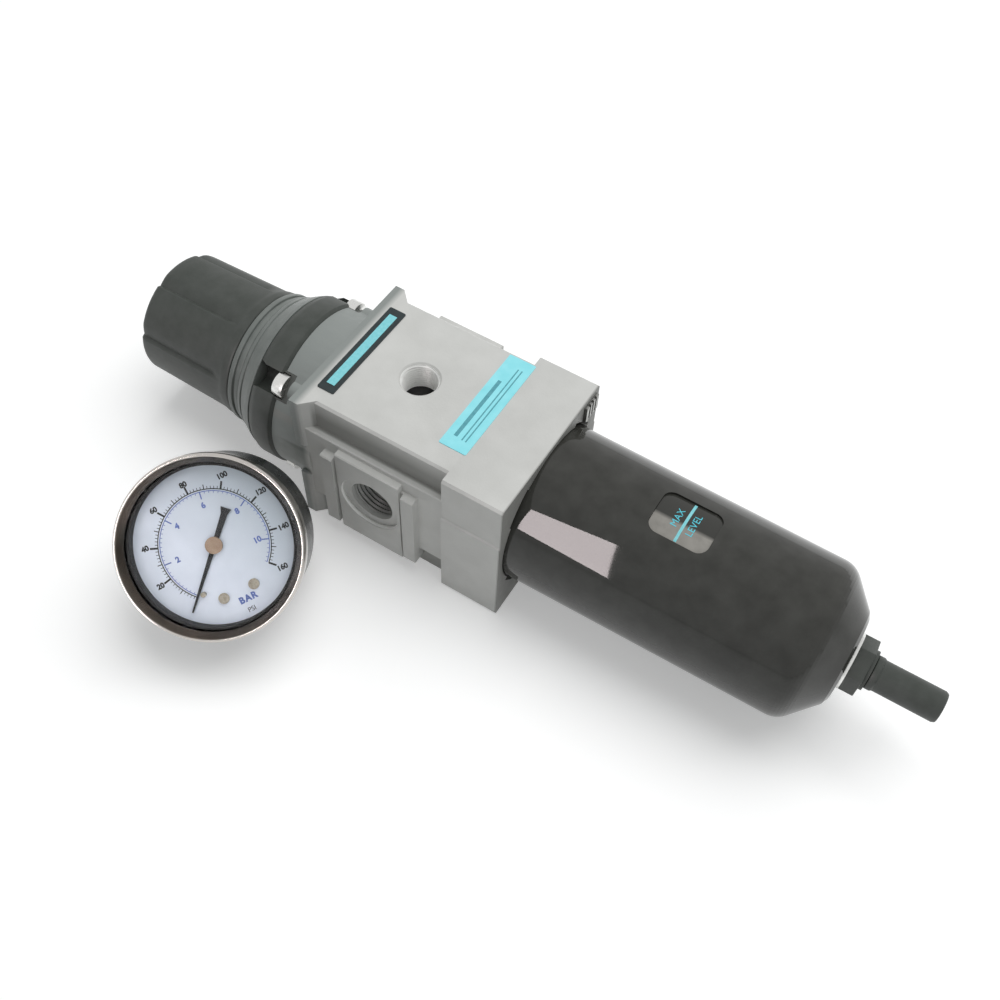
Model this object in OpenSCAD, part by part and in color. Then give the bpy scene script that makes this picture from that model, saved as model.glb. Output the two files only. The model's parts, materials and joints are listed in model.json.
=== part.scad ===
// Combined air filter and pressure regulator with its loose pressure gauge.
// Frame: +X runs along the unit from the knob to the drain, +Z is the front face's
// outward direction, and the unit lies on its back on the plane z = 0. The origin is
// on that plane, under the point where the port line crosses the unit's long axis.

/* [Body casting] */
// Width of the square bowl collar, and twice the height of the unit's axis
collar_w = 60; // [58:0.5:62]
// Width of the block behind the front face
block_w = 51.2; // [50:0.2:52]
// How far the front face lies below the collar's half width
front_drop = 0.5; // [0:0.25:1.5]
// Block from the port line to its knob end
block_knob = 25.9; // [25.5:0.1:27]
// Block from the port line to the bowl collar
block_bowl = 27.2; // [26.5:0.1:28]
// Length of the bowl collar
collar_l = 21.5; // [21:0.5:24]
// Step from the bonnet's flange down to the round end under it
neck_step = 0.8; // [0.4:0.1:1.2]
// Length of the round end under the bonnet
neck_l = 14.3; // [14:0.1:16]
// Chamfer on the casting's long edges
cast_chamfer = 0.8; // [0.4:0.1:1.2]

/* [Port faces] */
// Port faces from the unit's axis
flange_y = 31; // [30:0.25:32]
// Length of a port face's middle pad along the unit
flange_l = 24.4; // [22:0.2:25]
// Pad above the unit's axis on the inlet side
pad_top_in = 15.5; // [14:0.25:16]
// Pad above the unit's axis on the outlet side
pad_top_out = 24; // [20:0.5:25]
// Pads below the unit's axis
pad_bottom = 25; // [22:0.5:26]
// Distance of the port line behind the unit's axis
port_drop = 3; // [2:0.25:4]
// Wall radius of the main ports, for 3/8 inch pipe thread
port_r = 8.1; // [7.9:0.05:8.4]
// Depth of the main ports
port_depth = 14; // [13:0.25:14.5]
// Radius of the seal recess around a main port
seal_recess_r = 11.2; // [10.5:0.1:11.6]
// Depth of the seal recess
seal_recess_depth = 1.6; // [1:0.1:2]
// Wall radius of the gauge ports, for 1/4 inch pipe thread
gauge_port_r = 6.4; // [6.2:0.05:6.6]
// Depth of the gauge ports
gauge_port_depth = 13; // [12:0.25:13.5]

/* [Bonnet and knob] */
// Clearance of the bonnet's flange above the back plane
flange_clear = 0.2; // [0.1:0.1:0.6]
// Thickness of the bonnet's flange
flange_t = 10; // [9:0.25:11]
// Width of the flange round the bonnet's threaded neck
flange_rim = 10; // [9.8:0.1:10.8]
// Length of the bonnet's neck past the flange
bonnet_neck_l = 39.5; // [38:0.25:41]
// Wall of the bonnet's threaded neck
bonnet_wall = 4.3; // [4:0.1:4.8]
// Wall at the end of the bonnet
bonnet_end_t = 4; // [3:0.25:5]
// Length of the panel nut
panel_nut_l = 7.8; // [7:0.1:8.5]
// Length of the lock ring
lock_ring_l = 4.5; // [4:0.1:5]
// Width of the lock ring's band
lock_ring_w = 4.5; // [4.2:0.1:5]
// Length of the knob
knob_l = 39.6; // [38.8:0.2:42]
// Wall of the knob at its open end
knob_wall = 2.7; // [2.5:0.1:3.1]
// Draft of the knob's side towards its closed end
knob_draft = 0.8; // [0.4:0.1:1.2]
// Number of grooves round the knob
knob_grooves = 7; // [6:1:10]
// Travel of the knob when it is pulled out to unlock
knob_pull = 3; // [2:0.25:3.5]
// Radius of the adjusting screw
screw_r = 4; // [3.8:0.1:4.2]
// Travel of the spring nut from backed off to full pressure
nut_travel = 8.25; // [6:0.25:9]

/* [Valve and filter] */
// Width of the casting's ring round the diaphragm
diaphragm_rim = 7.4; // [7.2:0.1:7.8]
// Thickness of the diaphragm
diaphragm_t = 1.2; // [1:0.1:1.5]
// Radius of the valve stem
stem_r = 1.8; // [1.6:0.1:2]
// Opening travel of the valve
valve_travel = 1.5; // [1:0.1:2]
// Radius of the chamber that holds the valve guide
guide_bore_r = 12; // [11.6:0.1:12.2]
// Radius of the tube that carries the filter element
guide_tube_r = 8.5; // [8:0.1:8.8]
// Outer radius of the filter element
element_r = 13; // [12.5:0.1:14]
// Length of the filter element
element_l = 40; // [36:0.5:42]

/* [Bowl] */
// Radius of the bowl at its open end
bowl_r = 27.2; // [26.8:0.1:27.4]
// Radius of the bowl where the bottom starts
bowl_end_r = 26.4; // [26:0.1:26.6]
// Bowl from the collar's end to its bottom face
bowl_l = 104.8; // [102:0.4:108]
// Thickness of the bowl's side wall
bowl_wall = 2.4; // [2.1:0.1:2.6]
// Rounding of the bowl's bottom
bowl_round = 8; // [7:0.25:9]
// Width of the sight window
sight_w = 16; // [14:0.5:17]
// Length of the sight window
sight_l = 19.5; // [17:0.5:21]
// Turn of the bowl from locked to free, in degrees
bowl_turn = 45; // [40:1:48]
// Radius of the drain stem
drain_r = 5.1; // [4.8:0.1:5.4]
// Length of the drain stem outside its nut
drain_l = 22; // [20:0.5:24]
// Size of the drain nut across its corners
drain_nut_d = 18.5; // [17:0.25:19]
// Travel of the float
float_travel = 5; // [3:0.5:6]

/* [Gauge] */
// Outer radius of the gauge's bezel
bezel_r = 29.3; // [29:0.1:30]
// Step from the bezel down to the gauge's case
case_step = 1.55; // [1.3:0.05:1.9]
// Depth of the gauge from the bezel's front to the back of the case
case_depth = 28; // [27:0.25:30]
// Length of the pipe stem behind the case
pipe_l = 19; // [18:0.25:22]
// Radius of the pipe stem, for 1/4 inch pipe thread
pipe_r = 6.85; // [6.7:0.05:6.9]
// Gauge's dial centre along the unit from the port line
gauge_x = -25.8; // [-28:0.2:-22]
// Gauge's dial centre to the side of the unit's axis
gauge_y = -76.8; // [-80:0.2:-74]
// Heading of the dial, in degrees about the vertical
gauge_heading = -59; // [-65:1:-50]
// Roll of the dial about its own axis, in degrees
gauge_roll = 28; // [20:1:35]

/* [Hidden] */

// Fits and steps shared by the pieces
run_gap = 0.05;      // radial gap of a running fit
seat_gap = 0.05;     // gap between flat faces that meet and move
side_gap = 0.3;      // gap beside a moving piece
cut = 1;             // how far a cutter runs past a face
round_fn = 96;
small_fn = 48;

// Stations along the unit
axis_z = collar_w / 2;
front_h = axis_z - front_drop;
flange_r = axis_z - flange_clear;
neck_r = flange_r - neck_step;
x_neck0 = -block_knob - neck_l;
x_block0 = -block_knob;
x_block1 = block_bowl;
x_collar1 = block_bowl + collar_l;

// Diaphragm chamber, outlet chamber, valve wall and filtered chamber
recess_gap = 0.1;
diaphragm_r = neck_r - diaphragm_rim;
chamber_r = diaphragm_r - 1.6;
chamber_l = 8.4;
web_t = 6.6;
outlet_l = 10;
valve_wall_t = 6;
x_chamber0 = x_neck0 + diaphragm_t;
x_chamber1 = x_chamber0 + chamber_l;
x_outlet0 = x_chamber1 + web_t;
x_outlet1 = x_outlet0 + outlet_l;
x_filtered = x_outlet1 + valve_wall_t;
seal_bore_l = 5.2;
collar_floor_t = 3.8;
x_seal_bore = block_bowl - seal_bore_l;
x_collar_bore = block_bowl + collar_floor_t;
seal_bore_r = 24;
collar_bore_r = bowl_r + 0.4;

// Passages that join the ports to the chambers
passage_r = 4.5;
passage_y = chamber_r - 1.5;
sense_r = 2;
sense_z = chamber_r - 2.2;
bleed_r = 1;
bleed_y = 8;

// Ledge along each side of the block, and the clamp lugs beside each port face
ledge_y = block_w / 2 + 2.9;
ledge_top = 17.5;
lug_y = flange_y + 0.6;
lug_top = 12;
lug_l = 4.6;
lug_gap = 1;
lug_bottom = pad_bottom - 2;
ear_y = flange_y - 1.7;
ear_l = 3.4;
ear_gusset = 4.6;
ear_low = 8;
collar_step_z = 10.7;
collar_step = 0.6;

// Bonnet screws: each head stands in a cup of the bonnet, let into the round end
screw_head_r = 4.3;
screw_head_t = 4;
screw_shank_r = 1.8;
screw_pocket_r = screw_head_r + 0.3;
screw_cup_r = screw_pocket_r + 0.6;
screw_boss_r = screw_shank_r + 1.8;
cup_in_r = diaphragm_r + recess_gap + 0.7;
screw_at = (cup_in_r + screw_head_r + 0.4) / sqrt(2);
cup_l = 4;
cup_floor_t = 2;
screw_l = 11;
socket_r = 2;

// Bonnet, its nut and ring, and the knob
x_flange0 = x_neck0 - flange_t;
x_nut1 = x_flange0 - 0.2;
x_nut0 = x_nut1 - panel_nut_l;
x_ring1 = x_nut0 - 0.3;
x_ring0 = x_ring1 - lock_ring_l;
x_bonnet0 = x_flange0 - bonnet_neck_l;
x_spring_bore0 = x_bonnet0 + bonnet_end_t;
x_knob1 = x_ring0 - 0.4;
x_knob0 = x_knob1 - knob_l;
bonnet_neck_r = flange_r - flange_rim;
spring_bore_r = bonnet_neck_r - bonnet_wall;
nut_taper = 3.4;
lock_ring_r = bonnet_neck_r + lock_ring_w;
knob_bore_r = bonnet_neck_r + 0.5;
knob_r = knob_bore_r + knob_wall;
knob_end_r = knob_r - knob_draft;
knob_end_t = 4.5;
knob_rim_l = 3;
knob_rim_r = knob_r + 0.5;
knob_rim_slope = 1.5;
knob_round = 2;
knob_crown = 1.2;
groove_r = 2.4;
groove_depth = 1.1;
groove_first = -72;
boss_r = 8;
boss_gap = 0.3;
thrust_r = 7.5;
thrust_t = 2.8;
drive_r = 3.9;
drive_gap = 0.12;
x_thrust0 = x_spring_bore0 + seat_gap;
x_drive1 = x_bonnet0 - 0.3;
x_drive0 = x_knob0 + knob_end_t + knob_pull + 0.2;
screw_in_l = 20;
nut_t = 7;
x_spring_nut0 = x_thrust0 + thrust_t + 0.2;
nut_hub_r = 8;
nut_rim_t = 3;
key_w = 3;
key_depth = 1.2;
spring_wire_r = 1.5;
spring_turns = 7;

// Diaphragm plates
plate_gap = 1.5;
plate_r = spring_bore_r - plate_gap;
plate_t = 3;
plate_hub_r = 4;
lower_plate_t = 2;
x_plate0 = x_neck0 - plate_t;

// Valve
seat_r = 8;
seat_bore_r = 4.5;
seat_t = valve_wall_t - 1;
x_seat1 = x_outlet1 + seat_t;
poppet_r = 6.5;
poppet_t = 4;
x_poppet0 = x_seat1 + seat_gap;
tail_r = 3;
tail_l = 11;
x_stem0 = x_chamber0 + lower_plate_t + seat_gap;
valve_spring_l = 9.9;
x_guide0 = x_poppet0 + poppet_t + valve_spring_l;
guide_floor_t = 9;
guide_flange_r = 15;
guide_flange_t = 3;
guide_wall = 2;
vent_r = 1.7;
vent_at = 7.4;
x_deflector0 = x_seal_bore + guide_flange_t;
deflector_l = 8.6;
deflector_r = 18.6;
vane_count = 12;
vane_t = 1.2;
vane_tilt = 35;
x_element0 = x_deflector0 + deflector_l;
x_element1 = x_element0 + element_l;
element_gap = 0.4;
retainer_l = 6;
retainer_r = 18;
retainer_hub_r = 11;

// Bowl
neck_top = 23.75;
neck_bore_r = 19.4;
x_bowl0 = x_seal_bore + 1;
x_bowl_shoulder = x_collar_bore + 0.3;
x_bowl1 = x_collar1 + bowl_l;
bowl_slope = 48;
bowl_floor_t = 6;
bowl_bottom_l = 14;
bowl_floor_slope = 13;
seal_ring_r = 1.25;
x_seal = x_bowl0 + 4.4;
lug_r = bowl_r + 1.4;
lug_x0 = x_collar_bore + 3;
bayonet_l = 4;
bayonet_w = 24;
bayonet_lugs = 4;
bayonet_gap = 0.3;
x_sight = x_collar1 + 45.6;
sight_corner = 3.5;
sight_lip = 1.8;
sight_recess = 0.3;
sight_fit = 0.05;
sight_flange_t = 1;
sight_seat = 0.1;

// Bowl latch in a pocket of the collar's end face, at its front corner
latch_y0 = 20;
latch_w = 7.6;
latch_l = 6.2;
latch_low = 20.6;
latch_h = 6.6;
latch_out = 1;
tooth_depth = 0.8;
latch_pocket_l = 11.5;
latch_teeth = 4;
latch_wire_r = 0.35;

// Drain
fitting_r = 6.5;
fitting_flange_r = 10;
fitting_flange_t = 3;
fitting_out_l = 7.2;
washer_r = 9.3;
washer_t = 1.2;
nut_h = 4.8;
spigot_r = 3.5;
spigot_l = 10;
drain_bore_r = 2;
float_guide_r = 3;
float_guide_l = 36;
float_r = 15;
float_l = 26;
float_gap = 0.1;
x_floor = x_bowl1 - bowl_floor_t;
x_fitting0 = x_floor - fitting_flange_t;
x_fitting1 = x_bowl1 + fitting_out_l;

// Labels
plate_w = 6.2;
plate_len = 40.2;
plate_thick = 0.4;
label_w = 9.7;
label_len = 41.9;
label_thick = 0.2;
label_x = 23.35;
label_y = 3.45;

// Gauge: it lies on the back edge of its case and the end of its stem
pipe_chamfer = 0.8;
case_r = bezel_r - case_step;
gauge_tilt = atan((case_r - pipe_r) / (pipe_l - pipe_chamfer));
gauge_z = case_depth * sin(gauge_tilt) + case_r * cos(gauge_tilt);
case_wall = 1.2;
case_back_t = 1.6;
bezel_l = 5;
bezel_round = 1.2;
bezel_face = 3.2;
bezel_t = 0.9;
case_lip = 0.2;
lens_t = 1.4;
lens_z = -2.8;
dial_z = -8.5;
dial_t = 0.6;
dial_r = bezel_r - 3.3;
dial_hole_r = 1.6;
dial_screw_at = [[-5.2, -16.2], [5.2, -16.2]];
dial_screw_r = 1.7;
dial_screw_t = 0.7;
pin_r = 0.8;
stop_pin_at = 16;
stop_pin_past = 5.3;
stop_pin_h = 1.4;
pointer_z = dial_z + 0.8;
pointer_t = 0.4;
pointer_l = 22.5;
pointer_tip_w = 0.5;
pointer_mid_w = 2;
pointer_tail = 12.2;
pointer_tail_w = 3.4;
pointer_flare_l = 2;
pointer_disc_r = 2.6;
zero_angle = 225;
hub_r = 2.7;
hub_t = 0.7;
gear_z = -13.2;
gear_t = 1.2;
gear_module = 0.28;
pinion_teeth = 12;
sector_ratio = 6.75;
tooth_height = 0.62;
tooth_share = 0.36;
gear_distance = gear_module * pinion_teeth * (1 + sector_ratio) / 2;
arbor_r = 0.8;
sector_heading = -90;
sector_sweep = 40;
sector_margin = 7;
frame_past = 2.5;
sector_tail_l = 5.6;
sector_tail_w = 1.4;
sector_tail_past = 0.6;
sector_boss_r = 2;
frame_gap = 0.25;
frame_t = 1.4;
post_r = 1.3;
post_back = 1.2;
post_side = 7.2;
tube_clear = 9.25;
tube_mid_r = case_r - tube_clear;
tube_half_w = 3.4;
tube_half_t = 1.1;
tube_start = -60;
tube_sweep = 308;
tube_rise = 5;
socket_l = 4;
socket_z1 = socket_l - case_depth;
tube_z = socket_z1 + tube_rise;
socket_w = 26;
socket_past = 4;
socket_hub_r = 10.5;
stem_bore_r = 2.2;
stem_bore_past = 1;
link_t = 0.8;
link_l = 8.6;
link_pin_r = 0.5;
link_eye_r = 1.2;
link_w = 1;
link_gap = 0.1;
frame_w = 18;
square_w = 14;
square_l = 7;

// ---- shared shapes ---------------------------------------------------------

// Sets its children on the unit's axis, with their own z along +X
module on_axis(x = 0) {
    translate([x, 0, axis_z]) rotate([0, 90, 0]) children();
}

// A solid turned about the unit's axis from points [station, radius]
module turned(points) {
    on_axis() rotate_extrude($fn = round_fn) polygon([for (p = points) [p[1], p[0]]]);
}

// A plain disc or tube on the unit's axis
module disc(x0, x1, r_out, r_in = 0) {
    turned([[x0, r_in], [x1, r_in], [x1, r_out], [x0, r_out]]);
}

// A rod along +X at a place beside the unit's axis
module rod(x0, x1, y, z, r) {
    translate([x0, y, axis_z + z]) rotate([0, 90, 0]) cylinder(h = x1 - x0, r = r, $fn = small_fn);
}

// A bar whose cross-section has chamfered corners, along +X
module bar(x0, x1, y0, y1, z0, z1, c) {
    translate([x0, 0, 0]) rotate([90, 0, 90]) linear_extrude(x1 - x0)
        polygon([
            [y0 + c, z0], [y1 - c, z0], [y1, z0 + c], [y1, z1 - c],
            [y1 - c, z1], [y0 + c, z1], [y0, z1 - c], [y0, z0 + c]
        ]);
}

// A rectangle with round corners, flat on the XY plane
module round_rect(l, w, r) {
    square([l - 2 * r, w], center = true);
    square([l, w - 2 * r], center = true);
    for (sx = [-1, 1], sy = [-1, 1])
        translate([sx * (l / 2 - r), sy * (w / 2 - r)]) circle(r, $fn = small_fn);
}

// The points of an arc [station, radius] about a centre, from one angle to another
function arc(cx, cr, r, a0, a1, n = 6) =
    [for (i = [0:n]) let (a = a0 + (a1 - a0) * i / n) [cx + r * sin(a), cr + r * cos(a)]];

// A coil of round wire along +Z, with closed ends
module coil(height, mid_r, wire_r, turns, sides = 8, per_turn = 16) {
    steps = turns * per_turn;
    lead = (height - 2 * wire_r) / steps;
    points = [
        for (i = [0:steps]) let (a = 360 * i / per_turn)
            for (j = [0:sides - 1]) let (b = 360 * j / sides, r = mid_r + wire_r * cos(b))
                [r * cos(a), r * sin(a), wire_r + lead * i + wire_r * sin(b)]
    ];
    walls = [
        for (i = [0:steps - 1]) for (j = [0:sides - 1]) let (k = (j + 1) % sides)
            [i * sides + j, i * sides + k, (i + 1) * sides + k, (i + 1) * sides + j]
    ];
    first = [for (j = [sides - 1:-1:0]) j];
    last = [for (j = [0:sides - 1]) steps * sides + j];
    polyhedron(points, concat([first], walls, [last]), convexity = 10);
}

// Copies its children to the four bonnet screws
module at_screws(x) {
    for (sy = [-1, 1], sz = [-1, 1])
        translate([x, sy * screw_at, axis_z + sz * screw_at]) rotate([0, 90, 0]) children();
}

// ---- body casting ----------------------------------------------------------

// Outside of the casting: block, round end, collar, ledges, pads, lugs and ears
module body_outside() {
    hw = block_w / 2;
    bar(x_block0, x_block1 + cut, -hw, hw, 0, axis_z + front_h, cast_chamfer);
    at_screws(x_neck0 + cup_l) cylinder(h = neck_l - cup_l + cut, r = screw_boss_r, $fn = small_fn);
    disc(x_neck0, x_block0 + cut, neck_r);
    bar(x_block1, x_collar1, -collar_w / 2, collar_w / 2, 0, axis_z + collar_step_z, cast_chamfer);
    bar(x_block1, x_collar1, -collar_w / 2 + collar_step, collar_w / 2 - collar_step,
        axis_z, axis_z + front_h, cast_chamfer);
    bar(x_block0, x_block1 + cut, -ledge_y, ledge_y, axis_z - ledge_top, axis_z + ledge_top,
        cast_chamfer / 2);
    for (side = [-1, 1]) {
        port_pad(side, side < 0 ? pad_top_in : pad_top_out);
        for (end = [-1, 1]) clamp_lug(side, end);
        for (level = [-1, 1]) corner_ear(side, level);
    }
}

// The raised pad around one main port
module port_pad(side, top) {
    y0 = side < 0 ? -flange_y : 0;
    bar(-flange_l / 2, flange_l / 2, y0, y0 + flange_y, axis_z - pad_bottom, axis_z + top,
        cast_chamfer / 2);
}

// One clamp lug beside a port's pad
module clamp_lug(side, end) {
    x0 = end < 0 ? -flange_l / 2 - lug_gap - lug_l : flange_l / 2 + lug_gap;
    y0 = side < 0 ? -lug_y : 0;
    bar(x0, x0 + lug_l, y0, y0 + lug_y, axis_z - lug_bottom, axis_z + lug_top, cast_chamfer / 2);
    bar(x0 - (end > 0 ? lug_gap + cut : 0), x0 + lug_l + (end < 0 ? lug_gap + cut : 0),
        side < 0 ? -ear_y : 0, side < 0 ? 0 : ear_y, axis_z - lug_bottom, axis_z + lug_top,
        cast_chamfer / 2);
}

// One of the four ears at the block's knob end
module corner_ear(side, level) {
    z0 = level > 0 ? ear_low : -axis_z;
    translate([x_block0, 0, axis_z + z0]) mirror([0, side < 0 ? 1 : 0, 0])
        linear_extrude(level > 0 ? front_h - ear_low : axis_z - ear_low)
            polygon([[-ear_l, 0], [ear_gusset, 0], [ear_gusset, block_w / 2 - cut],
                [0, ear_y], [-ear_l, ear_y], [-ear_l, 0]]);
}

// One main port with its seal recess and the passage that leaves it
module main_port(side, x0, x1) {
    z = axis_z - port_drop;
    translate([0, side * flange_y, z]) rotate([side * 90, 0, 0]) {
        cylinder(h = port_depth, r = port_r, $fn = round_fn);
        translate([0, 0, -cut]) cylinder(h = cut + seal_recess_depth, r = seal_recess_r,
            $fn = round_fn);
    }
    rod(x0, x1, side * passage_y, -port_drop, passage_r);
}

// One gauge port with its countersink, and the hole that senses the outlet
module gauge_port(level) {
    mouth = gauge_port_r + 0.6;
    translate([0, 0, level > 0 ? axis_z + front_h : 0]) rotate([level > 0 ? 180 : 0, 0, 0]) {
        translate([0, 0, -cut]) cylinder(h = gauge_port_depth + cut, r = gauge_port_r,
            $fn = round_fn);
        translate([0, 0, -0.01]) cylinder(h = 0.6, r1 = mouth, r2 = gauge_port_r, $fn = round_fn);
    }
    rod(x_outlet0 + outlet_l / 2, 0, 0, level * sense_z, sense_r);
}

// Hollows along the unit's axis
module body_bores() {
    disc(x_neck0 - cut, x_chamber0, diaphragm_r + recess_gap);
    disc(x_chamber0 - cut, x_chamber1, chamber_r);
    disc(x_chamber1 - cut, x_outlet0 + cut, stem_r + run_gap);
    disc(x_outlet0, x_outlet1, chamber_r);
    disc(x_outlet1 - cut, x_filtered + cut, seat_r);
    disc(x_filtered, x_seal_bore + cut, guide_bore_r);
    disc(x_seal_bore, x_collar_bore + cut, seal_bore_r);
    disc(x_collar_bore, x_collar1 + cut, collar_bore_r);
    rod(x_chamber1 - cut, x_outlet0 + cut, bleed_y, 0, bleed_r);
}

// A sector of a ring on the unit's axis, centred on an angle from the front
module ring_sector(x0, x1, r_in, r_out, angle, width) {
    half = width / 2;
    far = 2 * r_out;
    intersection() {
        disc(x0, x1, r_out, r_in);
        translate([x0, 0, axis_z]) rotate([-angle, 0, 0]) rotate([90, 0, 90])
            linear_extrude(x1 - x0)
                polygon([[0, 0], [far * sin(-half), far * cos(half)], [far * sin(half), far * cos(half)]]);
    }
}

// Grooves of the bayonet that hold the bowl
module bayonet_grooves() {
    groove_out = lug_r + 0.2;
    disc(lug_x0 - bayonet_gap, lug_x0 + bayonet_l + bayonet_gap, groove_out);
    for (i = [0:bayonet_lugs - 1])
        ring_sector(lug_x0, x_collar1 + cut, bowl_r - cut, groove_out,
            bowl_turn + i * 360 / bayonet_lugs, bayonet_w + 4);
}

// Pocket for the bowl latch in the collar's end face
module latch_pocket() {
    translate([x_collar1 - latch_pocket_l, latch_y0 - side_gap, axis_z + latch_low - side_gap])
        cube([latch_pocket_l + cut, latch_w + 2 * side_gap, latch_h + 2 * side_gap]);
}

// Cups round the bonnet screws, cut off inside so that they clear the diaphragm
module screw_cups(r, r_in, r_out) {
    intersection() {
        at_screws(x_neck0 - cut) cylinder(h = cup_l + cut, r = r, $fn = small_fn);
        disc(x_neck0 - 2 * cut, x_neck0 + cup_l + cut, r_out, r_in);
    }
}

module body() {
    color([0.72, 0.72, 0.70]) difference() {
        body_outside();
        body_bores();
        main_port(-1, 0, x_seal_bore + cut);
        main_port(1, x_outlet1 - outlet_l / 2, 0);
        for (level = [-1, 1]) gauge_port(level);
        bayonet_grooves();
        latch_pocket();
        screw_cups(screw_cup_r + run_gap, cup_in_r - run_gap, 2 * axis_z);
        at_screws(x_neck0 + cup_l - cut)
            cylinder(h = screw_l - cup_floor_t + cut, r = screw_shank_r, $fn = small_fn);
    }
}

module back_port_plug() {
    socket_af = 5.6;
    color([0.55, 0.55, 0.53]) difference() {
        translate([0, 0, 0.6]) cylinder(h = gauge_port_depth - 3, r = gauge_port_r, $fn = round_fn);
        cylinder(h = gauge_port_depth / 2, r = socket_af / sqrt(3), $fn = 6);
    }
}

module name_plate() {
    color([0.10, 0.14, 0.15])
        translate([x_block0 + cast_chamfer + plate_w / 2, 0, axis_z + front_h])
            linear_extrude(plate_thick) round_rect(plate_w, plate_len, 0.5);
}

module data_label() {
    color([0.45, 0.92, 0.95]) translate([label_x, label_y, axis_z + front_h])
        linear_extrude(label_thick) round_rect(label_w, label_len, 0.5);
}

// ---- bonnet, nut, ring and knob --------------------------------------------

module bonnet() {
    step = 1.2;
    color([0.09, 0.10, 0.09]) difference() {
        union() {
            turned([
                [x_neck0, 0], [x_neck0, flange_r - step], [x_neck0 - step, flange_r],
                [x_flange0 + 2 * step, flange_r], [x_flange0, flange_r - step],
                [x_flange0, bonnet_neck_r], [x_bonnet0 + step, bonnet_neck_r],
                [x_bonnet0, bonnet_neck_r - step], [x_bonnet0, 0]
            ]);
            screw_cups(screw_cup_r, cup_in_r, neck_r);
        }
        disc(x_spring_bore0, x_neck0 + cut, spring_bore_r);
        disc(x_bonnet0 - cut, x_spring_bore0 + cut, screw_r + run_gap);
        for (side = [-1, 1])
            translate([x_spring_bore0, side > 0 ? 0 : -spring_bore_r - key_depth,
                axis_z - key_w / 2])
                cube([x_neck0 - x_spring_bore0 - plate_t - valve_travel,
                    spring_bore_r + key_depth, key_w]);
        at_screws(x_flange0 - cut)
            cylinder(h = flange_t + cut + cup_l - cup_floor_t, r = screw_pocket_r, $fn = small_fn);
        at_screws(x_neck0)
            cylinder(h = cup_l + cut, r = screw_shank_r + run_gap, $fn = small_fn);
    }
}

// Four cap screws; their heads clamp the floors of the bonnet's cups
module bonnet_screws() {
    color([0.80, 0.81, 0.82]) at_screws(x_neck0 + cup_l - cup_floor_t) difference() {
        union() {
            translate([0, 0, -screw_head_t]) cylinder(h = screw_head_t, r = screw_head_r,
                $fn = small_fn);
            cylinder(h = screw_l, r = screw_shank_r, $fn = small_fn);
        }
        translate([0, 0, -screw_head_t - cut])
            cylinder(h = screw_head_t / 2 + cut, r = socket_r, $fn = 6);
    }
}

module panel_nut() {
    color([0.36, 0.37, 0.37])
        turned([
            [x_nut1, bonnet_neck_r + run_gap], [x_nut1, flange_r - 1],
            [x_nut1 - 2, flange_r - 1.8], [x_nut0 + 2, flange_r - 1.3 - nut_taper],
            [x_nut0, flange_r - 1.6 - nut_taper], [x_nut0, bonnet_neck_r + run_gap]
        ]);
}

module lock_ring() {
    color([0.36, 0.37, 0.37])
        turned([
            [x_ring1, bonnet_neck_r + run_gap], [x_ring1, lock_ring_r - 0.5],
            [x_ring1 - 0.5, lock_ring_r], [x_ring0 + 0.5, lock_ring_r],
            [x_ring0, lock_ring_r - 0.5], [x_ring0, bonnet_neck_r + run_gap]
        ]);
}

// Outline of the knob from its rim over the crown to the axis
function knob_outline() = concat(
    [[x_knob1, knob_bore_r], [x_knob1, knob_rim_r], [x_knob1 - knob_rim_l, knob_rim_r],
        [x_knob1 - knob_rim_l - knob_rim_slope, knob_r]],
    [for (i = [0:5]) let (a = 90 * i / 5)
        [x_knob0 + knob_round * (1 - sin(a)), knob_end_r - knob_round * (1 - cos(a))]],
    [[x_knob0 - knob_crown / 2, knob_end_r * 0.55], [x_knob0 - knob_crown, 0],
        [x_knob0 + knob_end_t, 0], [x_knob0 + knob_end_t, knob_bore_r]]
);

module knob() {
    color([0.07, 0.08, 0.08]) difference() {
        union() {
            turned(knob_outline());
            disc(x_knob0 + knob_end_t - cut, x_drive1 - boss_gap, boss_r);
        }
        for (i = [0:knob_grooves - 1]) rotate_about_axis(i * 360 / knob_grooves + groove_first)
            rod(x_knob0 - knob_crown - cut, x_knob1 - knob_rim_l - knob_rim_slope, 0,
                knob_r - groove_depth + groove_r, groove_r);
        on_axis(x_drive0 - knob_pull - 0.1)
            cylinder(h = x_drive1 - x_drive0 + knob_pull, r = drive_r + drive_gap, $fn = 6);
    }
}

// Turns its children about the unit's axis, from the front towards +Y
module rotate_about_axis(angle) {
    translate([0, 0, axis_z]) rotate([-angle, 0, 0]) translate([0, 0, -axis_z]) children();
}

module adjusting_screw() {
    color([0.62, 0.62, 0.60]) {
        disc(x_drive1, x_thrust0 + thrust_t + screw_in_l, screw_r);
        disc(x_thrust0, x_thrust0 + thrust_t, thrust_r);
        on_axis(x_drive0) cylinder(h = x_drive1 - x_drive0, r = drive_r, $fn = 6);
    }
}

module spring_nut() {
    color([0.70, 0.60, 0.35]) difference() {
        union() {
            disc(x_spring_nut0, x_spring_nut0 + nut_rim_t, spring_bore_r - side_gap);
            disc(x_spring_nut0, x_spring_nut0 + nut_t, nut_hub_r);
            for (side = [-1, 1])
                translate([x_spring_nut0, side > 0 ? 0 : -spring_bore_r - key_depth + side_gap,
                    axis_z - key_w / 2 + side_gap])
                    cube([nut_rim_t, spring_bore_r + key_depth - side_gap, key_w - 2 * side_gap]);
        }
        disc(x_spring_nut0 - cut, x_spring_nut0 + nut_t + cut, screw_r + run_gap);
    }
}

module range_spring() {
    x0 = x_spring_nut0 + nut_rim_t;
    color([0.55, 0.56, 0.58]) on_axis(x0)
        coil(x_plate0 - x0, spring_bore_r - 4.6, spring_wire_r, spring_turns);
}

// ---- diaphragm and valve ---------------------------------------------------

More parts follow.
